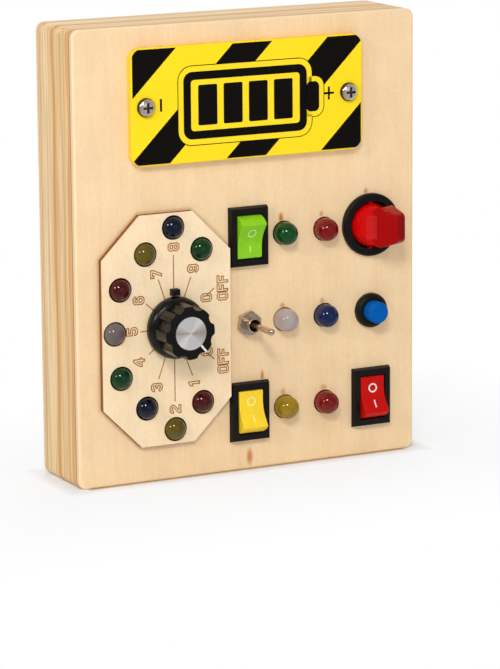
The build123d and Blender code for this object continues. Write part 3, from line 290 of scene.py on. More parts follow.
def softwood():
    """Planed pine rails: grain along each rail, with wandering orange bands of late wood.

    The bands lie by depth, so they show as long streaks on the case's sides, top and bottom.
    """
    late_wood, seam_brown = linear("#D09C58"), linear("#A5733F")
    late_start, late_full, late_share = 0.5, 0.62, 0.6
    wander_low, wander_high, sway = 0.25, 0.75, 1.6 * MM
    banded_depth = 12 * MM
    darkest, palest = 0.84, 1.12
    seam_start, seam_end, seam_share = 0.1 * MM, 0.35 * MM, 0.45
    bands_by_depth = [
        (0.00, "#DFB276"),
        (0.08, "#D89C55"),
        (0.12, "#E6C28F"),
        (0.20, "#DEB67C"),
        (0.28, "#E6C28E"),
        (0.46, "#E4BF88"),
        (0.53, "#DBA35C"),
        (0.57, "#D0924A"),
        (0.62, "#E5C18C"),
        (0.84, "#EDD1A4"),
        (1.00, "#E2BE88"),
    ]

    made, tree, shader, coordinates = new_material("planed_pine", Roughness=0.6, IOR=1.5)
    place = coordinates["Object"]
    x, y, z = add(tree, "SeparateXYZ", {0: place})
    # The top and bottom rails lie down, so their grain is turned from up to across.
    level = faces_along(tree, coordinates, 2, least=0.7)
    turned = add(tree, "CombineXYZ", {0: z, 1: y, 2: x})[0]
    place = add(tree, "Mix", {0: level, 4: place, 5: turned}, data_type="VECTOR")[1]

    wander = streaks(tree, place, across=200, along=55, detail=1.0)
    limits = {1: wander_low, 2: wander_high, 3: -sway, 4: sway}
    shift = add(tree, "MapRange", {0: wander, **limits})[0]
    straying = add(tree, "Math", {0: y, 1: shift})[0]
    depth = add(tree, "MapRange", {0: straying, 1: -banded_depth, 2: banded_depth})[0]
    bands = add(tree, "ValToRGB", {0: depth}, stops=bands_by_depth)[0]
    late = streaks(tree, place, across=1.3, along=110, detail=2.0)
    late = add(tree, "MapRange", {0: late, 1: late_start, 2: late_full, 3: 0.0, 4: late_share})[0]
    bands = add(tree, "Mix", {0: late, 6: bands, 7: late_wood}, data_type="RGBA")[2]
    fibre = streaks(tree, place, across=0.8, along=40)
    limits = {1: stark_low, 2: stark_high, 3: darkest, 4: palest}
    fine = add(tree, "MapRange", {0: fibre, **limits})[0]
    grained = add(tree, "VectorMath", {0: bands, 3: fine}, operation="SCALE")[0]

    # Glue darkens the seam where the two frames meet.
    seam = off_centre(tree, y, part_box("rear_frame")[0].y)
    limits = {1: seam_start, 2: seam_end, 3: seam_share, 4: 0.0}
    glue = add(tree, "MapRange", {0: seam, **limits})[0]
    colour = add(tree, "Mix", {0: glue, 6: grained, 7: seam_brown}, data_type="RGBA")[2]
    join(tree, colour, shader, "Base Color")
    bumped(tree, shader, fibre, depth=0.05)
    return made


# ---- Plastics, lenses and metals -------------------------------------------------------------
def striped_acrylic():
    """Two-colour engraving acrylic: glossy yellow core with black stripes printed on its face."""
    stripe_pitch, black_width, first_stripe = 36.4 * MM, 15.1 * MM, 156.5 * MM
    bare_margin = 0.45 * MM
    print_depth = 0.02 * MM
    gloss_patch, glossy, dull = 9 * MM, 0.24, 0.36
    side_yellow, face_yellow, black = linear("#F7C93A"), linear("#FCDB20"), linear("#0C0805")

    made, tree, shader, coordinates = new_material(
        "striped_acrylic", Roughness=0.3, IOR=1.49, Specular_IOR_Level=0.1
    )
    place = coordinates["Object"]
    x, y, z = add(tree, "SeparateXYZ", {0: place})
    # The stripes rise to the right at 45 degrees; pitch and width are counted level.
    slant = add(tree, "Math", {0: x, 1: z}, operation="SUBTRACT")[0]
    slant = add(tree, "Math", {0: slant, 1: first_stripe})[0]
    along = add(tree, "Math", {0: slant, 1: stripe_pitch}, operation="FLOORED_MODULO")[0]
    printed = add(tree, "Math", {0: along, 1: black_width}, operation="LESS_THAN")[0]
    low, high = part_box("hazard_plate")
    centre, half = (low + high) / 2, (high - low) / 2
    outline = beyond_box(tree, (x, z), (centre.x, centre.z), (half.x, half.z))
    inside = add(tree, "Math", {0: outline, 1: -bare_margin}, operation="LESS_THAN")[0]
    face = add(tree, "Math", {0: y, 1: stripe_face_y + print_depth}, operation="LESS_THAN")[0]
    for limit in (inside, face):
        printed = add(tree, "Math", {0: printed, 1: limit}, operation="MULTIPLY")[0]
    front = faces_front(tree, coordinates)
    # The side faces are given a deeper, more orange yellow than the front.
    yellow = add(tree, "Mix", {0: front, 6: side_yellow, 7: face_yellow}, data_type="RGBA")[2]
    colour = add(tree, "Mix", {0: printed, 6: yellow, 7: black}, data_type="RGBA")[2]
    join(tree, colour, shader, "Base Color")
    patches = add(tree, "TexNoise", {0: place, "Scale": 1 / gloss_patch, "Detail": 3.0})[0]
    gloss = add(tree, "MapRange", {0: patches, 1: noise_low, 2: noise_high, 3: glossy, 4: dull})[0]
    join(tree, gloss, shader, "Roughness")
    return made


def plastic(name, code, roughness, grain=0.25, depth=0.004, shade=0.12, **sockets):
    """Injection-moulded plastic: an even colour that clouds a little, fine grain, soft gloss."""
    cloud_size = 5 * MM
    made, tree, shader, coordinates = new_material(name, IOR=1.5, **sockets)
    place = coordinates["Object"]
    cloud = add(tree, "TexNoise", {0: place, "Scale": 1 / cloud_size, "Detail": 3.0})[0]
    limits = {1: noise_low, 2: noise_high, 3: 1 - shade, 4: 1 + shade}
    share = add(tree, "MapRange", {0: cloud, **limits})[0]
    colour = add(tree, "VectorMath", {0: linear(code)[:3], 3: share}, operation="SCALE")[0]
    join(tree, colour, shader, "Base Color")
    moulded(tree, shader, coordinates, grain, depth, roughness)
    return made


def lens(name, code):
    """Unlit coloured epoxy: deep colour under a smooth glossy dome."""
    return plastic(
        name,
        code,
        roughness=0.06,
        grain=1.2,
        depth=0.001,
        shade=0.15,
        Specular_IOR_Level=0.38,
    )


def metal(name, code, roughness):
    """Plated metal: fine rubbed scratches and uneven wear in its gloss."""
    wear_size = 2 * MM
    worn, bright = 0.82, 1.08
    glossy, dull = 0.75 * roughness, 1.4 * roughness
    made, tree, shader, coordinates = new_material(name, Metallic=1.0)
    place = coordinates["Object"]
    wear = add(tree, "TexNoise", {0: place, "Scale": 1 / wear_size, "Detail": 5.0})[0]
    share = add(tree, "MapRange", {0: wear, 1: noise_low, 2: noise_high, 3: worn, 4: bright})[0]
    colour = add(tree, "VectorMath", {0: linear(code)[:3], 3: share}, operation="SCALE")[0]
    join(tree, colour, shader, "Base Color")
    gloss = add(tree, "MapRange", {0: wear, 1: noise_low, 2: noise_high, 3: glossy, 4: dull})[0]
    join(tree, gloss, shader, "Roughness")
    rubbed = streaks(tree, place, across=0.12, along=3, detail=2.0, axis=0)
    bumped(tree, shader, rubbed, depth=0.006)
    return made


def recessed_nickel():
    """Nickel-plated screw heads, bright on top; painted shade darkens the driver recess, which holds
    little light.
    """
    recess_top, recess_floor = 0.3 * MM, 1.1 * MM
    wear_size, glossy, dull = 1 * MM, 0.12, 0.3
    made, tree, shader, coordinates = new_material("nickel_plated_steel", Metallic=1.0, Roughness=0.2)
    place = coordinates["Object"]
    y = add(tree, "SeparateXYZ", {0: place})[1]
    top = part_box("plate_screws")[0].y
    # Painted shade: the colour darkens with depth into the driver recess.
    depth = add(tree, "MapRange", {0: y, 1: top + recess_top, 2: top + recess_floor})[0]
    painted_recess_shade = [(0.0, "#F2E6DA"), (0.45, "#C9B9AA"), (0.8, "#6E5F52"), (1.0, "#3A2E26")]
    colour = add(tree, "ValToRGB", {0: depth}, stops=painted_recess_shade)[0]
    join(tree, colour, shader, "Base Color")
    wear = add(tree, "TexNoise", {0: place, "Scale": 1 / wear_size, "Detail": 4.0})[0]
    gloss = add(tree, "MapRange", {0: wear, 1: noise_low, 2: noise_high, 3: glossy, 4: dull})[0]
    join(tree, gloss, shader, "Roughness")
    return made


def clear_red():
    """See-through red polycarbonate, bright near its root; painted shade deepens its thin end and right
    side.
    """
    bright, deep, painted_shade_share = linear("#C60406"), linear("#8C0102"), 0.75
    bright_y, deep_y = -21.3 * MM, -22.2 * MM
    # Painted shade: how far the normal points to the right where it starts and where it is full.
    turning, turned = 0.02, 0.3
    made, tree, shader, coordinates = new_material(
        "red_clear_polycarbonate", IOR=1.5, Specular_IOR_Level=0.1
    )
    across = add(tree, "SeparateXYZ", {0: coordinates["Normal"]})[0]
    painted_right_shade = add(tree, "MapRange", {0: across, 1: turning, 2: turned})[0]
    y = add(tree, "SeparateXYZ", {0: coordinates["Object"]})[1]
    # Painted shade also deepens the red towards the thin end.
    painted_end_shade = add(tree, "MapRange", {0: y, 1: bright_y, 2: deep_y, 3: 0.0, 4: painted_shade_share})[0]
    share = add(tree, "Math", {0: painted_right_shade, 1: painted_end_shade}, operation="MAXIMUM")[0]
    colour = add(tree, "Mix", {0: share, 6: bright, 7: deep}, data_type="RGBA")[2]
    join(tree, colour, shader, "Base Color")
    moulded(tree, shader, coordinates, grain=0.25, depth=0.002, roughness=0.14)
    return made


def spun_aluminium():
    """Aluminium turned on a lathe: rings finer than a hair, fanning the light into painted highlight
    wedges.
    """
    # The rings are drawn coarser than the real ones, so that they show; their grooves get painted
    # shade.
    ring_pitch = 0.25 * MM
    groove, crest = 0.9, 1.0
    # Painted highlights: each fan's brightness by share of a turn, from the left, anticlockwise as
    # seen.
    painted_highlight_fans = [
        (0.00, "#DAD0C8"),
        (0.08, "#F0EBE6"),
        (0.20, "#FAF6F2"),
        (0.27, "#FFFFFF"),
        (0.36, "#FFFFFF"),
        (0.43, "#E4D8CE"),
        (0.50, "#C8BAB0"),
        (0.57, "#DED5CE"),
        (0.66, "#F4F0EC"),
        (0.76, "#FFFCF8"),
        (0.84, "#FFFFFF"),
        (0.90, "#FFFFFF"),
        (0.95, "#E8DDD3"),
        (1.00, "#C4B5AA"),
    ]

    made, tree, shader, coordinates = new_material(
        "spun_aluminium", Metallic=0.8, Roughness=0.4, Anisotropic=0.8
    )
    x, _, z = add(tree, "SeparateXYZ", {0: coordinates["Object"]})
    off_x = add(tree, "Math", {0: x, 1: dial_axis.x}, operation="SUBTRACT")[0]
    off_z = add(tree, "Math", {0: z, 1: dial_axis.z}, operation="SUBTRACT")[0]
    flat = add(tree, "CombineXYZ", {0: off_x, 2: off_z})[0]
    radius = add(tree, "VectorMath", {0: flat}, operation="LENGTH")["Value"]
    # Painted shade: the rings' grooves are a little darker than their crests.
    rings = add(tree, "Math", {0: radius, 1: 2 * pi / ring_pitch}, operation="MULTIPLY")[0]
    rings = add(tree, "Math", {0: rings}, operation="SINE")[0]
    shade = add(tree, "MapRange", {0: rings, 1: -1.0, 2: 1.0, 3: groove, 4: crest})[0]
    # Painted highlights: the colour brightens in fans round the turn.
    angle = add(tree, "Math", {0: off_z, 1: off_x}, operation="ARCTAN2")[0]
    turned = add(tree, "MapRange", {0: angle, 1: -pi, 2: pi})[0]
    painted_sheen = add(tree, "ValToRGB", {0: turned}, stops=painted_highlight_fans)[0]
    colour = add(tree, "VectorMath", {0: painted_sheen, 3: shade}, operation="SCALE")[0]
    join(tree, colour, shader, "Base Color")
    tangent = add(tree, "Tangent", direction_type="RADIAL", axis="Y")[0]
    join(tree, tangent, shader, "Tangent")
    return made


def scorched_line():
    """Wood burnt by a laser: amber brown, darker where the beam dwelt."""
    dwell_size = 0.8 * MM
    burnt = [(0.3, "#7E4A0A"), (0.5, "#A06214"), (0.7, "#BA7C26")]
    made, tree, shader, coordinates = new_material("laser_scorched_wood", Roughness=0.75)
    place = coordinates["Object"]
    dwell = add(tree, "TexNoise", {0: place, "Scale": 1 / dwell_size, "Detail": 2.0})[0]
    join(tree, add(tree, "ValToRGB", {0: dwell}, stops=burnt)[0], shader, "Base Color")
    return made


# ---- Modelling helpers -----------------------------------------------------------------------
facing_front = Matrix.Rotation(radians(90), 4, "X")
merge_distance = 0.0005 * MM


def sort_by_place(bm):
    """Gives a mesh's parts the same order on every run; Blender's extrude makes them in any."""
    slant = Vector((1, pi, pi**2))
    bm.verts.sort(key=lambda vert: vert.co.dot(slant))
    for parts in (bm.edges, bm.faces):
        # Cubes tell crossed parts with one middle apart, such as the bars of a plus.
        parts.sort(key=lambda part: sum(vert.co.dot(slant) ** 3 for vert in part.verts))


def piece(name, bm, material, body):
    """Makes a piece of a bmesh, riding on a body, with its material."""
    bmesh.ops.remove_doubles(bm, verts=bm.verts, dist=merge_distance)
    bmesh.ops.recalc_face_normals(bm, faces=bm.faces)
    sort_by_place(bm)
    mesh = bpy.data.meshes.new(name)
    bm.to_mesh(mesh)
    bm.free()
    mesh.materials.append(material)
    made = bpy.data.objects.new(name, mesh)
    bpy.context.scene.collection.objects.link(made)
    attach(made, body)


def raise_tile(bm, faces, height):
    """Gives flat faces on the plane Y 0 a height towards the front."""
    made = bmesh.ops.extrude_face_region(bm, geom=faces)
    corners = [item for item in made["geom"] if isinstance(item, bmesh.types.BMVert)]
    bmesh.ops.translate(bm, verts=corners, vec=(0, -height, 0))


def add_tile(bm, x, z, width, height, rise, corner=0.0, turn=0.0, cuts=0):
    """A flat rectangle facing the front, centred at x, z, with rounded corners."""
    made = bmesh.ops.create_grid(bm, x_segments=1, y_segments=1, size=0.5)["verts"]
    bmesh.ops.scale(bm, vec=(width, height, 1), verts=made)
    if corner:
        made = bmesh.ops.bevel(
            bm,
            geom=made,
            offset=corner,
            affect="VERTICES",
            segments=6,
            profile=0.5,
            material=-1,
        )["verts"]
    faces = list({face for vert in made for face in vert.link_faces})
    if cuts:
        # The new grid is still flat on Z 0, where nothing else lies.
        edges = list({edge for face in faces for edge in face.edges})
        bmesh.ops.subdivide_edges(bm, edges=edges, cuts=cuts, use_grid_fill=True)
        faces = [face for face in bm.faces if all(abs(v.co.z) < 1e-9 for v in face.verts)]
    place = Matrix.Translation((x, 0, z)) @ Matrix.Rotation(-turn, 4, "Y") @ facing_front
    bmesh.ops.transform(bm, matrix=place, verts=list({v for face in faces for v in face.verts}))
    raise_tile(bm, faces, rise)


def add_ring(bm, x, z, inner, outer, rise, squeeze):
    """A flat ring facing the front, its height squeezed, as it will lie on a slope."""
    loops = []
    for radius in (inner, outer):
        made = bmesh.ops.create_circle(bm, radius=radius, segments=40)["verts"]
        loops += list({edge for vert in made for edge in vert.link_edges})
    faces = bmesh.ops.bridge_loops(bm, edges=loops)["faces"]
    place = Matrix.Translation((x, 0, z)) @ Matrix.Diagonal((1, 1, squeeze, 1)) @ facing_front
    bmesh.ops.transform(bm, matrix=place, verts=list({v for face in faces for v in face.verts}))
    raise_tile(bm, faces, rise)


def lay_on(bm, node):
    """Presses what stands on the plane Y 0 onto the front of a node's own surface."""
    surface = BVHTree.FromObject(nodes[node], bpy.context.evaluated_depsgraph_get())
    before_all = cad_box[0].y - 10 * MM
    for vert in bm.verts:
        start = Vector((vert.co.x, before_all, vert.co.z))
        vert.co.y += surface.ray_cast(start, Vector((0, 1, 0)))[0].y


# ---- Burnt marks on the dial -----------------------------------------------------------------
# Each figure is the burnt outline of a stroke with cut corners, 4 wide on a grid 6 high.
unit = 0.68 * MM
figure_middle = (2, 3)
letter_advance = 4.5 * unit
stroke_width = 0.38 * MM
dial_line_width = 0.95 * stroke_width
mark_rise = 0.03 * MM

ring_outer = [(1, 0), (3, 0), (4, 1), (4, 5), (3, 6), (1, 6), (0, 5), (0, 1)]
ring_inner = [
    (1.4, 1.1), (2.6, 1.1), (2.9, 1.4), (2.9, 4.6),
    (2.6, 4.9), (1.4, 4.9), (1.1, 4.6), (1.1, 1.4),
]
window = [
    (1.4, 1.1), (2.6, 1.1), (2.9, 1.4), (2.9, 2.2),
    (2.6, 2.5), (1.4, 2.5), (1.1, 2.2), (1.1, 1.4),
]
six = [
    [
        (1, 0), (3, 0), (4, 1), (4, 2.8), (3, 3.8), (1.1, 3.8), (1.1, 4.6), (1.4, 4.9),
        (2.6, 4.9), (2.9, 4.4), (4, 4.4), (4, 5), (3, 6), (1, 6), (0, 5), (0, 1),
    ],
    [(1.4, 1.1), (2.6, 1.1), (2.9, 1.4), (2.9, 2.4), (2.6, 2.7), (1.1, 2.7), (1.1, 1.4)],
]
figures = {
    "0": [ring_outer, ring_inner],
    "O": [ring_outer, ring_inner],
    "1": [[(1.6, 0), (2.8, 0), (2.8, 6), (2.0, 6), (0.6, 4.9), (0.6, 3.8), (1.6, 4.2)]],
    "2": [
        [
            (0, 0), (4, 0), (4, 1.1), (1.5, 1.1), (4, 3.7), (4, 5), (3, 6), (1, 6), (0, 5),
            (0, 4.2), (1.1, 4.2), (1.4, 4.9), (2.6, 4.9), (2.9, 4.6), (2.9, 4.0), (0, 1.2),
        ]
    ],
    "3": [
        [
            (0, 1), (1, 0), (3, 0), (4, 1), (4, 2.6), (3.6, 3), (4, 3.4), (4, 5), (3, 6), (1, 6),
            (0, 5), (0, 4.3), (1.1, 4.3), (1.4, 4.9), (2.6, 4.9), (2.9, 4.6), (2.9, 3.8),
            (2.6, 3.5), (1.6, 3.5), (1.6, 2.5), (2.6, 2.5), (2.9, 2.2), (2.9, 1.4), (2.6, 1.1),
            (1.4, 1.1), (1.1, 1.7), (0, 1.7),
        ]
    ],
    "4": [
        [
            (2.5, 0), (3.6, 0), (3.6, 1.4), (4.3, 1.4), (4.3, 2.5), (3.6, 2.5), (3.6, 6),
            (2.4, 6), (0, 2.6), (0, 1.4), (2.5, 1.4),
        ],
        [(2.5, 2.5), (1.2, 2.5), (2.5, 4.4)],
    ],
    "5": [
        [
            (0, 1), (1, 0), (3, 0), (4, 1), (4, 2.9), (3, 3.9), (1.1, 3.9), (1.1, 4.9),
            (3.8, 4.9), (3.8, 6), (0, 6), (0, 2.8), (2.6, 2.8), (2.9, 2.5), (2.9, 1.4),
            (2.6, 1.1), (1.4, 1.1), (1.1, 1.7), (0, 1.7),
        ]
    ],
    "6": six,
    "7": [
        [
            (0.8, 0), (2.0, 0), (4, 4.7), (4, 6), (0, 6), (0, 4.2), (1.1, 4.2), (1.1, 4.9),
            (2.8, 4.9),
        ]
    ],
    "8": [
        [
            (1, 0), (3, 0), (4, 1), (4, 2.6), (3.6, 3), (4, 3.4), (4, 5), (3, 6), (1, 6),
            (0, 5), (0, 3.4), (0.4, 3), (0, 2.6), (0, 1),
        ],
        window,
        [(across, 6 - up) for across, up in window],
    ],
    "9": [[(4 - across, 6 - up) for across, up in line] for line in six],
    "F": [
        [
            (0, 0), (1.1, 0), (1.1, 2.5), (3.2, 2.5), (3.2, 3.6), (1.1, 3.6), (1.1, 4.9),
            (3.6, 4.9), (3.6, 6), (0, 6),
        ]
    ],
}
# Each text with the x and z of its middle in millimetres.
dial_texts = [
    ("8", -29.6, 81.5),
    ("9", -22.4, 73.4),
    ("7", -36.3, 72.7),
    ("6", -43.0, 64.2),
    ("5", -45.6, 53.7),
    ("4", -43.1, 42.7),
    ("3", -36.6, 33.4),
    ("2", -29.6, 25.0),
    ("1", -22.4, 33.4),
    ("0", -17.4, 62.8),
    ("0", -17.4, 43.9),
    ("OFF", -11.2, 65.8),
    ("OFF", -11.2, 40.2),
]
# Each line runs out from the ring's middle: the x and z of its outer end, and where it begins.
# Most begin under the knob, and the two towards OFF begin further out.
dial_middle = Vector((-29.7, 53.4)) * MM
under_knob, past_knob = 9.0, 15.5
dial_lines = [
    (-29.7, 78.8, under_knob),
    (-29.7, 27.8, under_knob),
    (-42.6, 53.3, under_knob),
    (-23.2, 70.6, under_knob),
    (-35.5, 70.8, under_knob),
    (-22.9, 36.1, under_knob),
    (-35.8, 36.2, under_knob),
    (-40.2, 62.8, under_knob),
    (-39.4, 45.1, under_knob),
    (-14.3, 65.9, past_knob),
    (-14.6, 41.1, past_knob),
]


def add_burnt_line(bm, corners):
    """A closed line of even width through the corners, on the plane Y 0."""
    sharpest = 0.5
    sides = []
    count = len(corners)
    for side in (-0.5, 0.5):
        verts = []
        for index, corner in enumerate(corners):
            before = (corner - corners[index - 1]).normalized()
            after = (corners[(index + 1) % count] - corner).normalized()
            along = (before + after).normalized()
            offset = side * stroke_width / max(along.dot(before), sharpest)
            out = Vector((-along.y, along.x)) * offset
            verts.append(bm.verts.new((corner.x + out.x, 0, corner.y + out.y)))
        sides.append(verts)
    near_side, far_side = sides
    faces = [
        bm.faces.new((near_side[i - 1], near_side[i], far_side[i], far_side[i - 1]))
        for i in range(count)
    ]
    raise_tile(bm, faces, mark_rise)


def burnt_marks(material):
    """Figures and lines; the figures read upwards, so a figure's own top points left."""
    bm = bmesh.new()
    for text, x, z in dial_texts:
        for place, letter in enumerate(text):
            shift = (place - (len(text) - 1) / 2) * letter_advance
            for line in figures[letter]:
                corners = [
                    Vector((
                        x * MM - (up - figure_middle[1]) * unit,
                        z * MM + shift + (across - figure_middle[0]) * unit,
                    ))
                    for across, up in line
                ]
                add_burnt_line(bm, corners)
    for x, z, begin in dial_lines:
        reach = Vector((x, z)) * MM - dial_middle
        centre = dial_middle + reach.normalized() * (reach.length + begin * MM) / 2
        length = reach.length - begin * MM
        turn = atan2(reach.y, reach.x)
        add_tile(bm, centre.x, centre.y, length, dial_line_width, mark_rise / 2, turn=turn)
    bmesh.ops.translate(bm, verts=bm.verts, vec=(0, dial_face_y, 0))
    piece("dial_marks", bm, material, "case")


# ---- Printed marks on the striped plate ------------------------------------------------------
print_rise = 0.02 * MM


def plate_print(name, material, layer, tiles):
    """One printed layer: flat tiles of x, z, width, height and corner radius in millimetres."""
    bm = bmesh.new()
    for x, z, width, height, corner in tiles:
        add_tile(bm, x * MM, z * MM, width * MM, height * MM, print_rise * layer, corner * MM)
    bmesh.ops.translate(bm, verts=bm.verts, vec=(0, stripe_face_y, 0))
    piece(name, bm, material, "case")


def battery_sign(black, yellow):
    """A plain battery: outline, end cap and four charge bars, with a yellow keyline round it."""
    x, z = -2.2, 129.4
    width, height = 47.0, 23.0
    cap_x = x + width / 2 + 2.3
    cap_width, cap_height = 5.0, 10.4
    # Under the outline lie a black line and a yellow keyline, which show round it. For each: how
    # much wider the body is on every side and its corner radius, and then the same for the cap.
    layers = (
        ("sign_edge_line", black, 2.2, 5.2, 2.0, 3.7),
        ("sign_keyline", yellow, 1.9, 4.9, 1.7, 3.4),
        ("sign_outline", black, 0.0, 3.2, 0.0, 1.8),
    )
    for layer, (name, material, wider, corner, cap_wider, cap_corner) in enumerate(layers, 1):
        body = (x, z, width + 2 * wider, height + 2 * wider, corner)
        cap = (cap_x, z, cap_width + 2 * cap_wider, cap_height + 2 * cap_wider, cap_corner)
        plate_print(name, material, layer, [body, cap])
    wall, field_corner = 2.8, 1.2
    field_width, field_height = width - 2 * wall, height - 2 * wall
    plate_print("sign_field", yellow, 4, [(x, z, field_width, field_height, field_corner)])
    bar_pitch, bar_width, bar_height, bar_corner = 9.6, 7.2, height - 9.2, 0.6
    bars = [
        (x + place * bar_pitch, z, bar_width, bar_height, bar_corner)
        for place in (-1.5, -0.5, 0.5, 1.5)
    ]
    plate_print("sign_bars", black, 5, bars)
    minus = (-34.1, 130.4, 0.8, 4.3, 0)
    plus_x, plus_z = 29.9, 130.1
    plus = [(plus_x, plus_z, 4.0, 0.75, 0), (plus_x, plus_z, 0.75, 4.5, 0)]
    plate_print("pole_marks", black, 1, [minus, *plus])


# ---- Marks on the moving pieces --------------------------------------------------------------
def rocker_marks(colour, material, ring, bar, stroke):
    """A ring over a bar, moulded into the rocker: their middles' heights from the rocker's axis."""
    ring_radius, bar_length, rise = 1.2 * MM, 2.3 * MM, 0.05 * MM
    width = stroke * MM
    node = "rocker_" + colour
    centre = middle("rocker_housing_" + colour)
    bm = bmesh.new()
    ring_z = centre.z + ring * MM
    add_ring(bm, centre.x, ring_z, ring_radius, ring_radius + width, rise, squeeze=0.96)
    add_tile(bm, centre.x, centre.z + bar * MM, width, bar_length, rise, cuts=4)
    lay_on(bm, node)
    piece(node + "_marks", bm, material, colour + "_rocker")


def paddle_ribs(material):
    """Fine level ribs for the fingertip, on the paddle's low facet."""
    ribs, pitch = 13, 0.65 * MM
    length, width, rise = 3.2 * MM, 0.3 * MM, 0.1 * MM
    centre = Vector((44.7, 82.4)) * MM
    bm = bmesh.new()
    for rib in range(ribs):
        add_tile(bm, centre.x, centre.y + (rib - ribs // 2) * pitch, length, width, rise)
    lay_on(bm, "paddle_lever")
    piece("paddle_ribs", bm, material, "paddle")


def pointer_inlay(material):
    """White paint in the knob's pointer groove, from the cap's rim to the knob's."""
    angle = radians(-49.5)
    width, groove_depth, paint_depth = 0.65 * MM, 0.2 * MM, 0.19 * MM
    low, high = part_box("knob_cap")
    inner, outer = (high.x - low.x) / 2, 9.0 * MM
    reach = (inner + outer) / 2
    x, z = dial_axis.x + reach * cos(angle), dial_axis.z + reach * sin(angle)
    bm = bmesh.new()
    add_tile(bm, x, z, outer - inner, width, paint_depth, turn=angle)
    groove_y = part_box("dial_knob")[0].y + groove_depth
    bmesh.ops.translate(bm, verts=bm.verts, vec=(0, groove_y, 0))
    piece("pointer_paint", bm, material, "knob")


# ---- Woods of the three plywood sheets -------------------------------------------------------
# Scorches beside the panel's holes: x, z, inner and outer radius in millimetres, how strong, and
# how far drawn out upwards.
scorches = [
    (12.6, 87.6, 0.2, 1.3, 1.0, 2.2),
    (28.4, 87.7, 0.1, 1.1, 0.7, 1.4),
    (46.0, 94.2, 0.1, 1.3, 0.8, 1.3),
    (12.9, 56.7, 0.2, 1.5, 0.7, 1.0),
    (28.6, 56.9, 0.2, 1.4, 0.6, 1.2),
    (13.0, 26.0, 0.2, 1.4, 0.65, 1.4),
    (29.0, 26.0, 0.3, 1.7, 0.55, 0.9),
    (4.9, 32.8, 0.1, 0.9, 1.0, 3.0),
]
panel_burns = [
    (x * MM, z * MM, inner * MM, outer * MM, share, stretch)
    for x, z, inner, outer, share, stretch in scorches
]
# The depth of each sheet's front and back, and its plies' colours from front to back.
panel_edge = (
    -15 * MM,
    -11.8 * MM,
    [
        # The near-white front ply is partly a painted highlight of the panel's rounded front edge.
        (0.00, "#FFF0D6"),
        (0.36, "#FBE3C0"),
        (0.42, "#D9BA92"),
        (0.50, "#F3DDB8"),
        (0.74, "#EDD2A8"),
        (0.84, "#A97A4C"),
        (1.00, "#BE8E58"),
    ],
)
# The laser cut the dial plate's outline, so its edge is burnt; painted shade darkens it, most at the
# back.
dial_char_and_shade_edge = (-17 * MM, -15 * MM, [(0.0, "#B47A40"), (0.45, "#8E5826"), (1.0, "#5C3414")])
back_edge = (
    12 * MM,
    15 * MM,
    [(0.0, "#B98C60"), (0.3, "#F0D6AE"), (0.5, "#D3AE82"), (0.7, "#F0D6AE"), (1.0, "#F2D9B2")],
)

panel_birch = birch_plywood(
    "birch_plywood_front",
    [(0.25, "#EFCB9A"), (0.5, "#F3D2A4"), (0.75, "#F6D8AE")],
    panel_edge,
    panel_burns,
    knot=(-0.2 * MM, 4.4 * MM, 0.2 * MM, 1.8 * MM, 2.4),
)
dial_birch = birch_plywood(
    "birch_plywood_dial",
    [(0.3, "#F5D6AB"), (0.5, "#F9DEB6"), (0.7, "#FBE3BF")],
    dial_char_and_shade_edge,
    burnt_rim=True,
)
back_birch = birch_plywood(
    "birch_plywood_back",
    [(0.32, "#EBC08A"), (0.5, "#F2CD9C"), (0.68, "#F7D8AE")],
    back_edge,
)

# ---- Finishes by material slot ---------------------------------------------------------------
finishes = {
    "frame_wood": softwood(),
    "yellow_acrylic": striped_acrylic(),
    # Zinc plating is grey and rather dull, nickel warm and bright, and tinned brass pale straw.
    "zinc_steel": metal("zinc_plated_steel", "#B4B4B0", 0.35),
    "nickel_steel": recessed_nickel(),
    "nickel_brass": metal("nickel_plated_brass", "#D2C0AC", 0.22),
    "tinned_brass": metal("tinned_brass", "#C8BFA6", 0.35),
    "spun_aluminium": spun_aluminium(),
    # Moulded nylon is a satin black; the knob's phenolic is blacker and polished.
    "black_plastic": plastic("black_nylon", "#120F0C", 0.42, Specular_IOR_Level=0.18),
    "black_gloss_plastic": plastic(
        "black_phenolic", "#050302", 0.26, shade=0.1, Specular_IOR_Level=0.3
    ),
    # Acetal is a milky white; paper laminate is brown, with the paper's fibre clouding it.
    "white_plastic": plastic("white_acetal", "#ECEAE4", 0.4),
    "brown_laminate": plastic("brown_paper_laminate", "#7A4A22", 0.5),
    # Rockers and caps are moulded in clean colours, with a soft gloss on their slopes.
    "green_plastic": plastic(
        "green_polycarbonate", "#86CA1C", 0.3, shade=0.05, Specular_IOR_Level=0.2
    ),
    "yellow_plastic": plastic(
        "yellow_polycarbonate", "#F8D22E", 0.3, shade=0.04, Specular_IOR_Level=0.2
    ),
    "red_plastic": plastic(
        "red_polycarbonate", "#C00D0A", 0.3, shade=0.05, Specular_IOR_Level=0.1
    ),
    "red_clear_plastic": clear_red(),
    "blue_plastic": plastic("blue_nylon", "#0058AA", 0.35, shade=0.06, Specular_IOR_Level=0.05),
    # The lamps are off, so their epoxy shows its own deep tint and not light.
    "red_lens": lens("red_epoxy", "#740304"),
    "olive_lens": lens("yellow_epoxy", "#94760C"),
    "blue_lens": lens("blue_epoxy", "#051A44"),
    "green_lens": lens("green_epoxy", "#023F12"),
    "white_lens": lens("clear_epoxy", "#A89A96"),
    # Within the case: green board laminate, sand-coloured lacquer, printed film, red vinyl.
    "board_laminate": plastic("board_laminate", "#2E6B3A", 0.4),
    "resistor_coat": plastic("resistor_lacquer", "#C9A775", 0.4),
    "cell_wrap": plastic("cell_wrap", "#3A3F46", 0.3),
    "wire_insulation": plastic("wire_insulation", "#B3221E", 0.4),
}
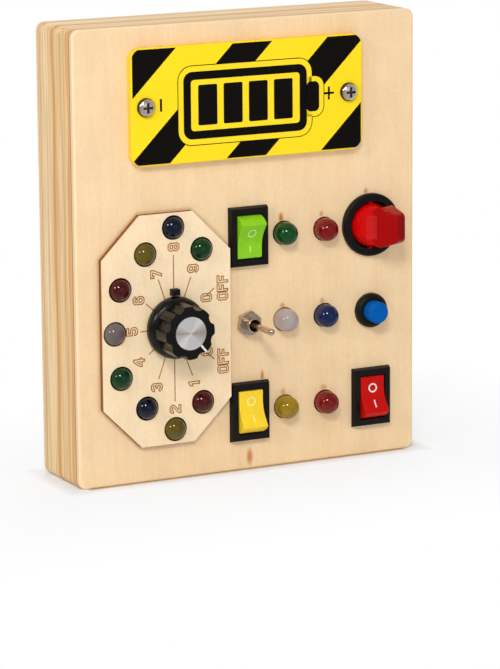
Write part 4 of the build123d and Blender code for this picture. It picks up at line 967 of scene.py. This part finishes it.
# The dial's lamps sit deeper, with two boards round them, so less light gets to them.
own_finishes = {
    "front_panel": panel_birch,
    "dial_plate": dial_birch,
    "back_panel": back_birch,
    # Painted shade: darker copies of the lens colours for the deeper dial lamps.
    "dial_lamps_red": lens("red_epoxy_painted_shade", "#420303"),
    "dial_lamps_yellow": lens("yellow_epoxy_painted_shade", "#5A4A08"),
    "dial_lamps_blue": lens("blue_epoxy_painted_shade", "#02071E"),
    "dial_lamps_green": lens("green_epoxy_painted_shade", "#023010"),
    "dial_lamp_white": lens("clear_epoxy_painted_shade", "#625855"),
}
for part in frame["record"]["subparts"]:
    node = nodes[part["node"]]
    node.data.materials.clear()
    node.data.materials.append(own_finishes.get(part["node"]) or finishes[part["material_slot"]])

# Engraving film prints flat and even. The marks' paints are pale tints of what carries them.
print_black = plastic("black_engraving_film", "#0C0805", 0.3, Specular_IOR_Level=0.1)
print_yellow = plastic(
    "yellow_engraving_film", "#FCDB20", 0.3, shade=0.02, Specular_IOR_Level=0.2
)
white_paint = plastic("pale_marking_paint", "#E9E6DC", 0.45, shade=0.05)
green_paint = plastic("pale_green_paint", "#D4F09A", 0.45)
yellow_paint = plastic("pale_yellow_paint", "#FCEB8C", 0.45)

burnt_marks(scorched_line())
battery_sign(print_black, print_yellow)
rocker_marks("green", green_paint, ring=1.5, bar=-4.2, stroke=0.35)
rocker_marks("yellow", yellow_paint, ring=3.7, bar=-2.0, stroke=0.5)
rocker_marks("red", white_paint, ring=3.3, bar=-2.0, stroke=0.5)
pointer_inlay(white_paint)
# The ribs' lighter red, paler than the paddle's, is a painted highlight on their crests.
paddle_ribs(plastic("red_ribs_painted_highlight", "#CC1A1A", 0.2))


# ---- Camera ----------------------------------------------------------------------------------
camera_place = Vector((-538.3, -1074.3, 296.2)) * MM
camera_turn = radians(26.95)
camera_drop = radians(11.81)
camera_roll = radians(0.45)
camera_lens = 189.0
sensor_width = 36.0
nearest_seen = 0.05

level_share = cos(camera_drop)
looking = Vector(
    (sin(camera_turn) * level_share, cos(camera_turn) * level_share, -sin(camera_drop))
)
camera = bpy.data.objects.new("camera", bpy.data.cameras.new("camera"))
bpy.context.scene.collection.objects.link(camera)
camera.data.lens = camera_lens
camera.data.sensor_width = sensor_width
camera.data.clip_start = nearest_seen
camera.location = camera_place
camera.rotation_mode = "QUATERNION"
camera.rotation_quaternion = Quaternion(looking, camera_roll) @ looking.to_track_quat("-Z", "Y")
bpy.context.scene.camera = camera


# ---- Light, backdrop and floor ---------------------------------------------------------------
def soft_box(name, azimuth, elevation, distance, size, power):
    """A square soft lamp aimed at the board. Azimuth 0 stands in front, and 90 at its right."""
    lamp = bpy.data.lights.new(name, "AREA")
    lamp.size = size
    lamp.energy = power
    made = bpy.data.objects.new(name, lamp)
    bpy.context.scene.collection.objects.link(made)
    target = Vector((0, 0, half_height))
    across, up = radians(azimuth), radians(elevation)
    away = Vector((sin(across) * cos(up), -cos(across) * cos(up), sin(up)))
    made.location = target + away * distance
    made.rotation_mode = "QUATERNION"
    made.rotation_quaternion = (-away).to_track_quat("-Z", "Y")


# The small key and side lamps make the bright dots on the lenses; the large ones only fill.
soft_box("key_lamp", azimuth=-30, elevation=36, distance=1.2, size=0.25, power=5.6)
soft_box("side_lamp", azimuth=-68, elevation=26, distance=1.2, size=0.17, power=2.8)
soft_box("fill_lamp", azimuth=8, elevation=4, distance=1.3, size=1.0, power=1.2)
soft_box("rear_lamp", azimuth=150, elevation=40, distance=1.5, size=0.8, power=3.5)


def studio_world():
    """White to the camera, soft light to matt surfaces, and to gloss dimmer in front than behind."""
    soft_level, front_level, rear_level = 0.52, 0.3, 1.0
    front_limit, rear_limit = -0.5, 0.4
    world = bpy.data.worlds.new("studio")
    bpy.context.scene.world = world
    world.use_nodes = True
    tree = world.node_tree
    rays = add(tree, "LightPath")
    y = add(tree, "SeparateXYZ", {0: add(tree, "TexCoord")["Generated"]})[1]
    limits = {1: front_limit, 2: rear_limit, 3: front_level, 4: rear_level}
    gloss = add(tree, "MapRange", {0: y, **limits})[0]
    mirrored = add(tree, "Math", {0: rays["Is Glossy Ray"], 1: rays["Is Transmission Ray"]})[0]
    level = add(tree, "Mix", {0: mirrored, 2: soft_level, 3: gloss})[0]
    level = add(tree, "Mix", {0: rays["Is Camera Ray"], 2: level, 3: 1.0})[0]
    background = tree.nodes["Background"]
    background.inputs["Color"].default_value = (1, 1, 1, 1)
    tree.links.new(level, background.inputs["Strength"])


def studio_floor():
    """White card that keeps the board's shadow and fades into the white round it.

    Gloss and metal show it white behind the board and dimmer in front, as the world is. A
    painted contact shadow browns it close under the case's straight edges.
    """
    half_size = 4.0
    unlit_end, near_end, open_end = 2 * MM, 7 * MM, 90 * MM
    near_share, open_start, open_share = 0.7, 12 * MM, 0.3
    edge_rounding, painted_shadow_start, painted_shadow_end = 4.5 * MM, 0.2 * MM, 1.8 * MM
    front_limit, front_level = -0.1, 0.4

    bm = bmesh.new()
    bmesh.ops.create_grid(bm, x_segments=1, y_segments=1, size=half_size)
    mesh = bpy.data.meshes.new("floor")
    bm.to_mesh(mesh)
    bm.free()
    floor = bpy.data.objects.new("floor", mesh)
    bpy.context.scene.collection.objects.link(floor)

    made, tree, shader, coordinates = new_material(
        "white_card", Roughness=0.9, Specular_IOR_Level=0.1
    )
    x, y, _ = add(tree, "SeparateXYZ", {0: coordinates["Object"]})
    # Painted contact shadow: the card is tinted brown close under the case's straight edges.
    straight_half = half_width - edge_rounding
    painted_contact_shadow = beyond_box(tree, (x, y), (0.0, 0.0), (straight_half, -front_y))
    painted_contact_shadow = add(tree, "MapRange", {0: painted_contact_shadow, 1: painted_shadow_start, 2: painted_shadow_end})[0]
    card = add(tree, "ValToRGB", {0: painted_contact_shadow}, stops=[(0, "#C4AC8C"), (1, "#F1F4F8")])[0]
    join(tree, card, shader, "Base Color")

    # The camera sees the card's own shade at the case, and mostly plain white away from it.
    beyond = beyond_box(tree, (x, y), (0.0, 0.0), (half_width, -front_y))
    contact = add(tree, "MapRange", {0: beyond, 1: unlit_end, 2: near_end, 3: 0.0, 4: near_share})[0]
    distant = add(tree, "MapRange", {0: beyond, 1: open_start, 2: open_end, 3: 0.0, 4: open_share})[0]
    white_share = add(tree, "Math", {0: contact, 1: distant}, use_clamp=True)[0]
    rays = add(tree, "LightPath")
    seen = add(tree, "Math", {0: rays["Is Camera Ray"], 1: white_share}, operation="MULTIPLY")[0]
    gloss_rays = {0: rays["Is Glossy Ray"], 1: rays["Is Transmission Ray"]}
    mirrored = add(tree, "Math", gloss_rays, use_clamp=True)[0]
    fade = add(tree, "Math", {0: seen, 1: mirrored}, operation="MAXIMUM")[0]
    dimmer = add(tree, "MapRange", {0: y, 1: front_limit, 2: 0.0, 3: front_level, 4: 1.0})[0]
    level = add(tree, "Mix", {0: mirrored, 2: 1.0, 3: dimmer})[0]
    white = add(tree, "Emission", {0: (1, 1, 1, 1), 1: level})[0]
    mixed = add(tree, "MixShader", {0: fade, 1: shader.outputs[0], 2: white})[0]
    tree.links.new(mixed, tree.nodes["Material Output"].inputs[0])
    mesh.materials.append(made)


studio_world()
studio_floor()
bpy.context.scene.view_settings.view_transform = "Standard"
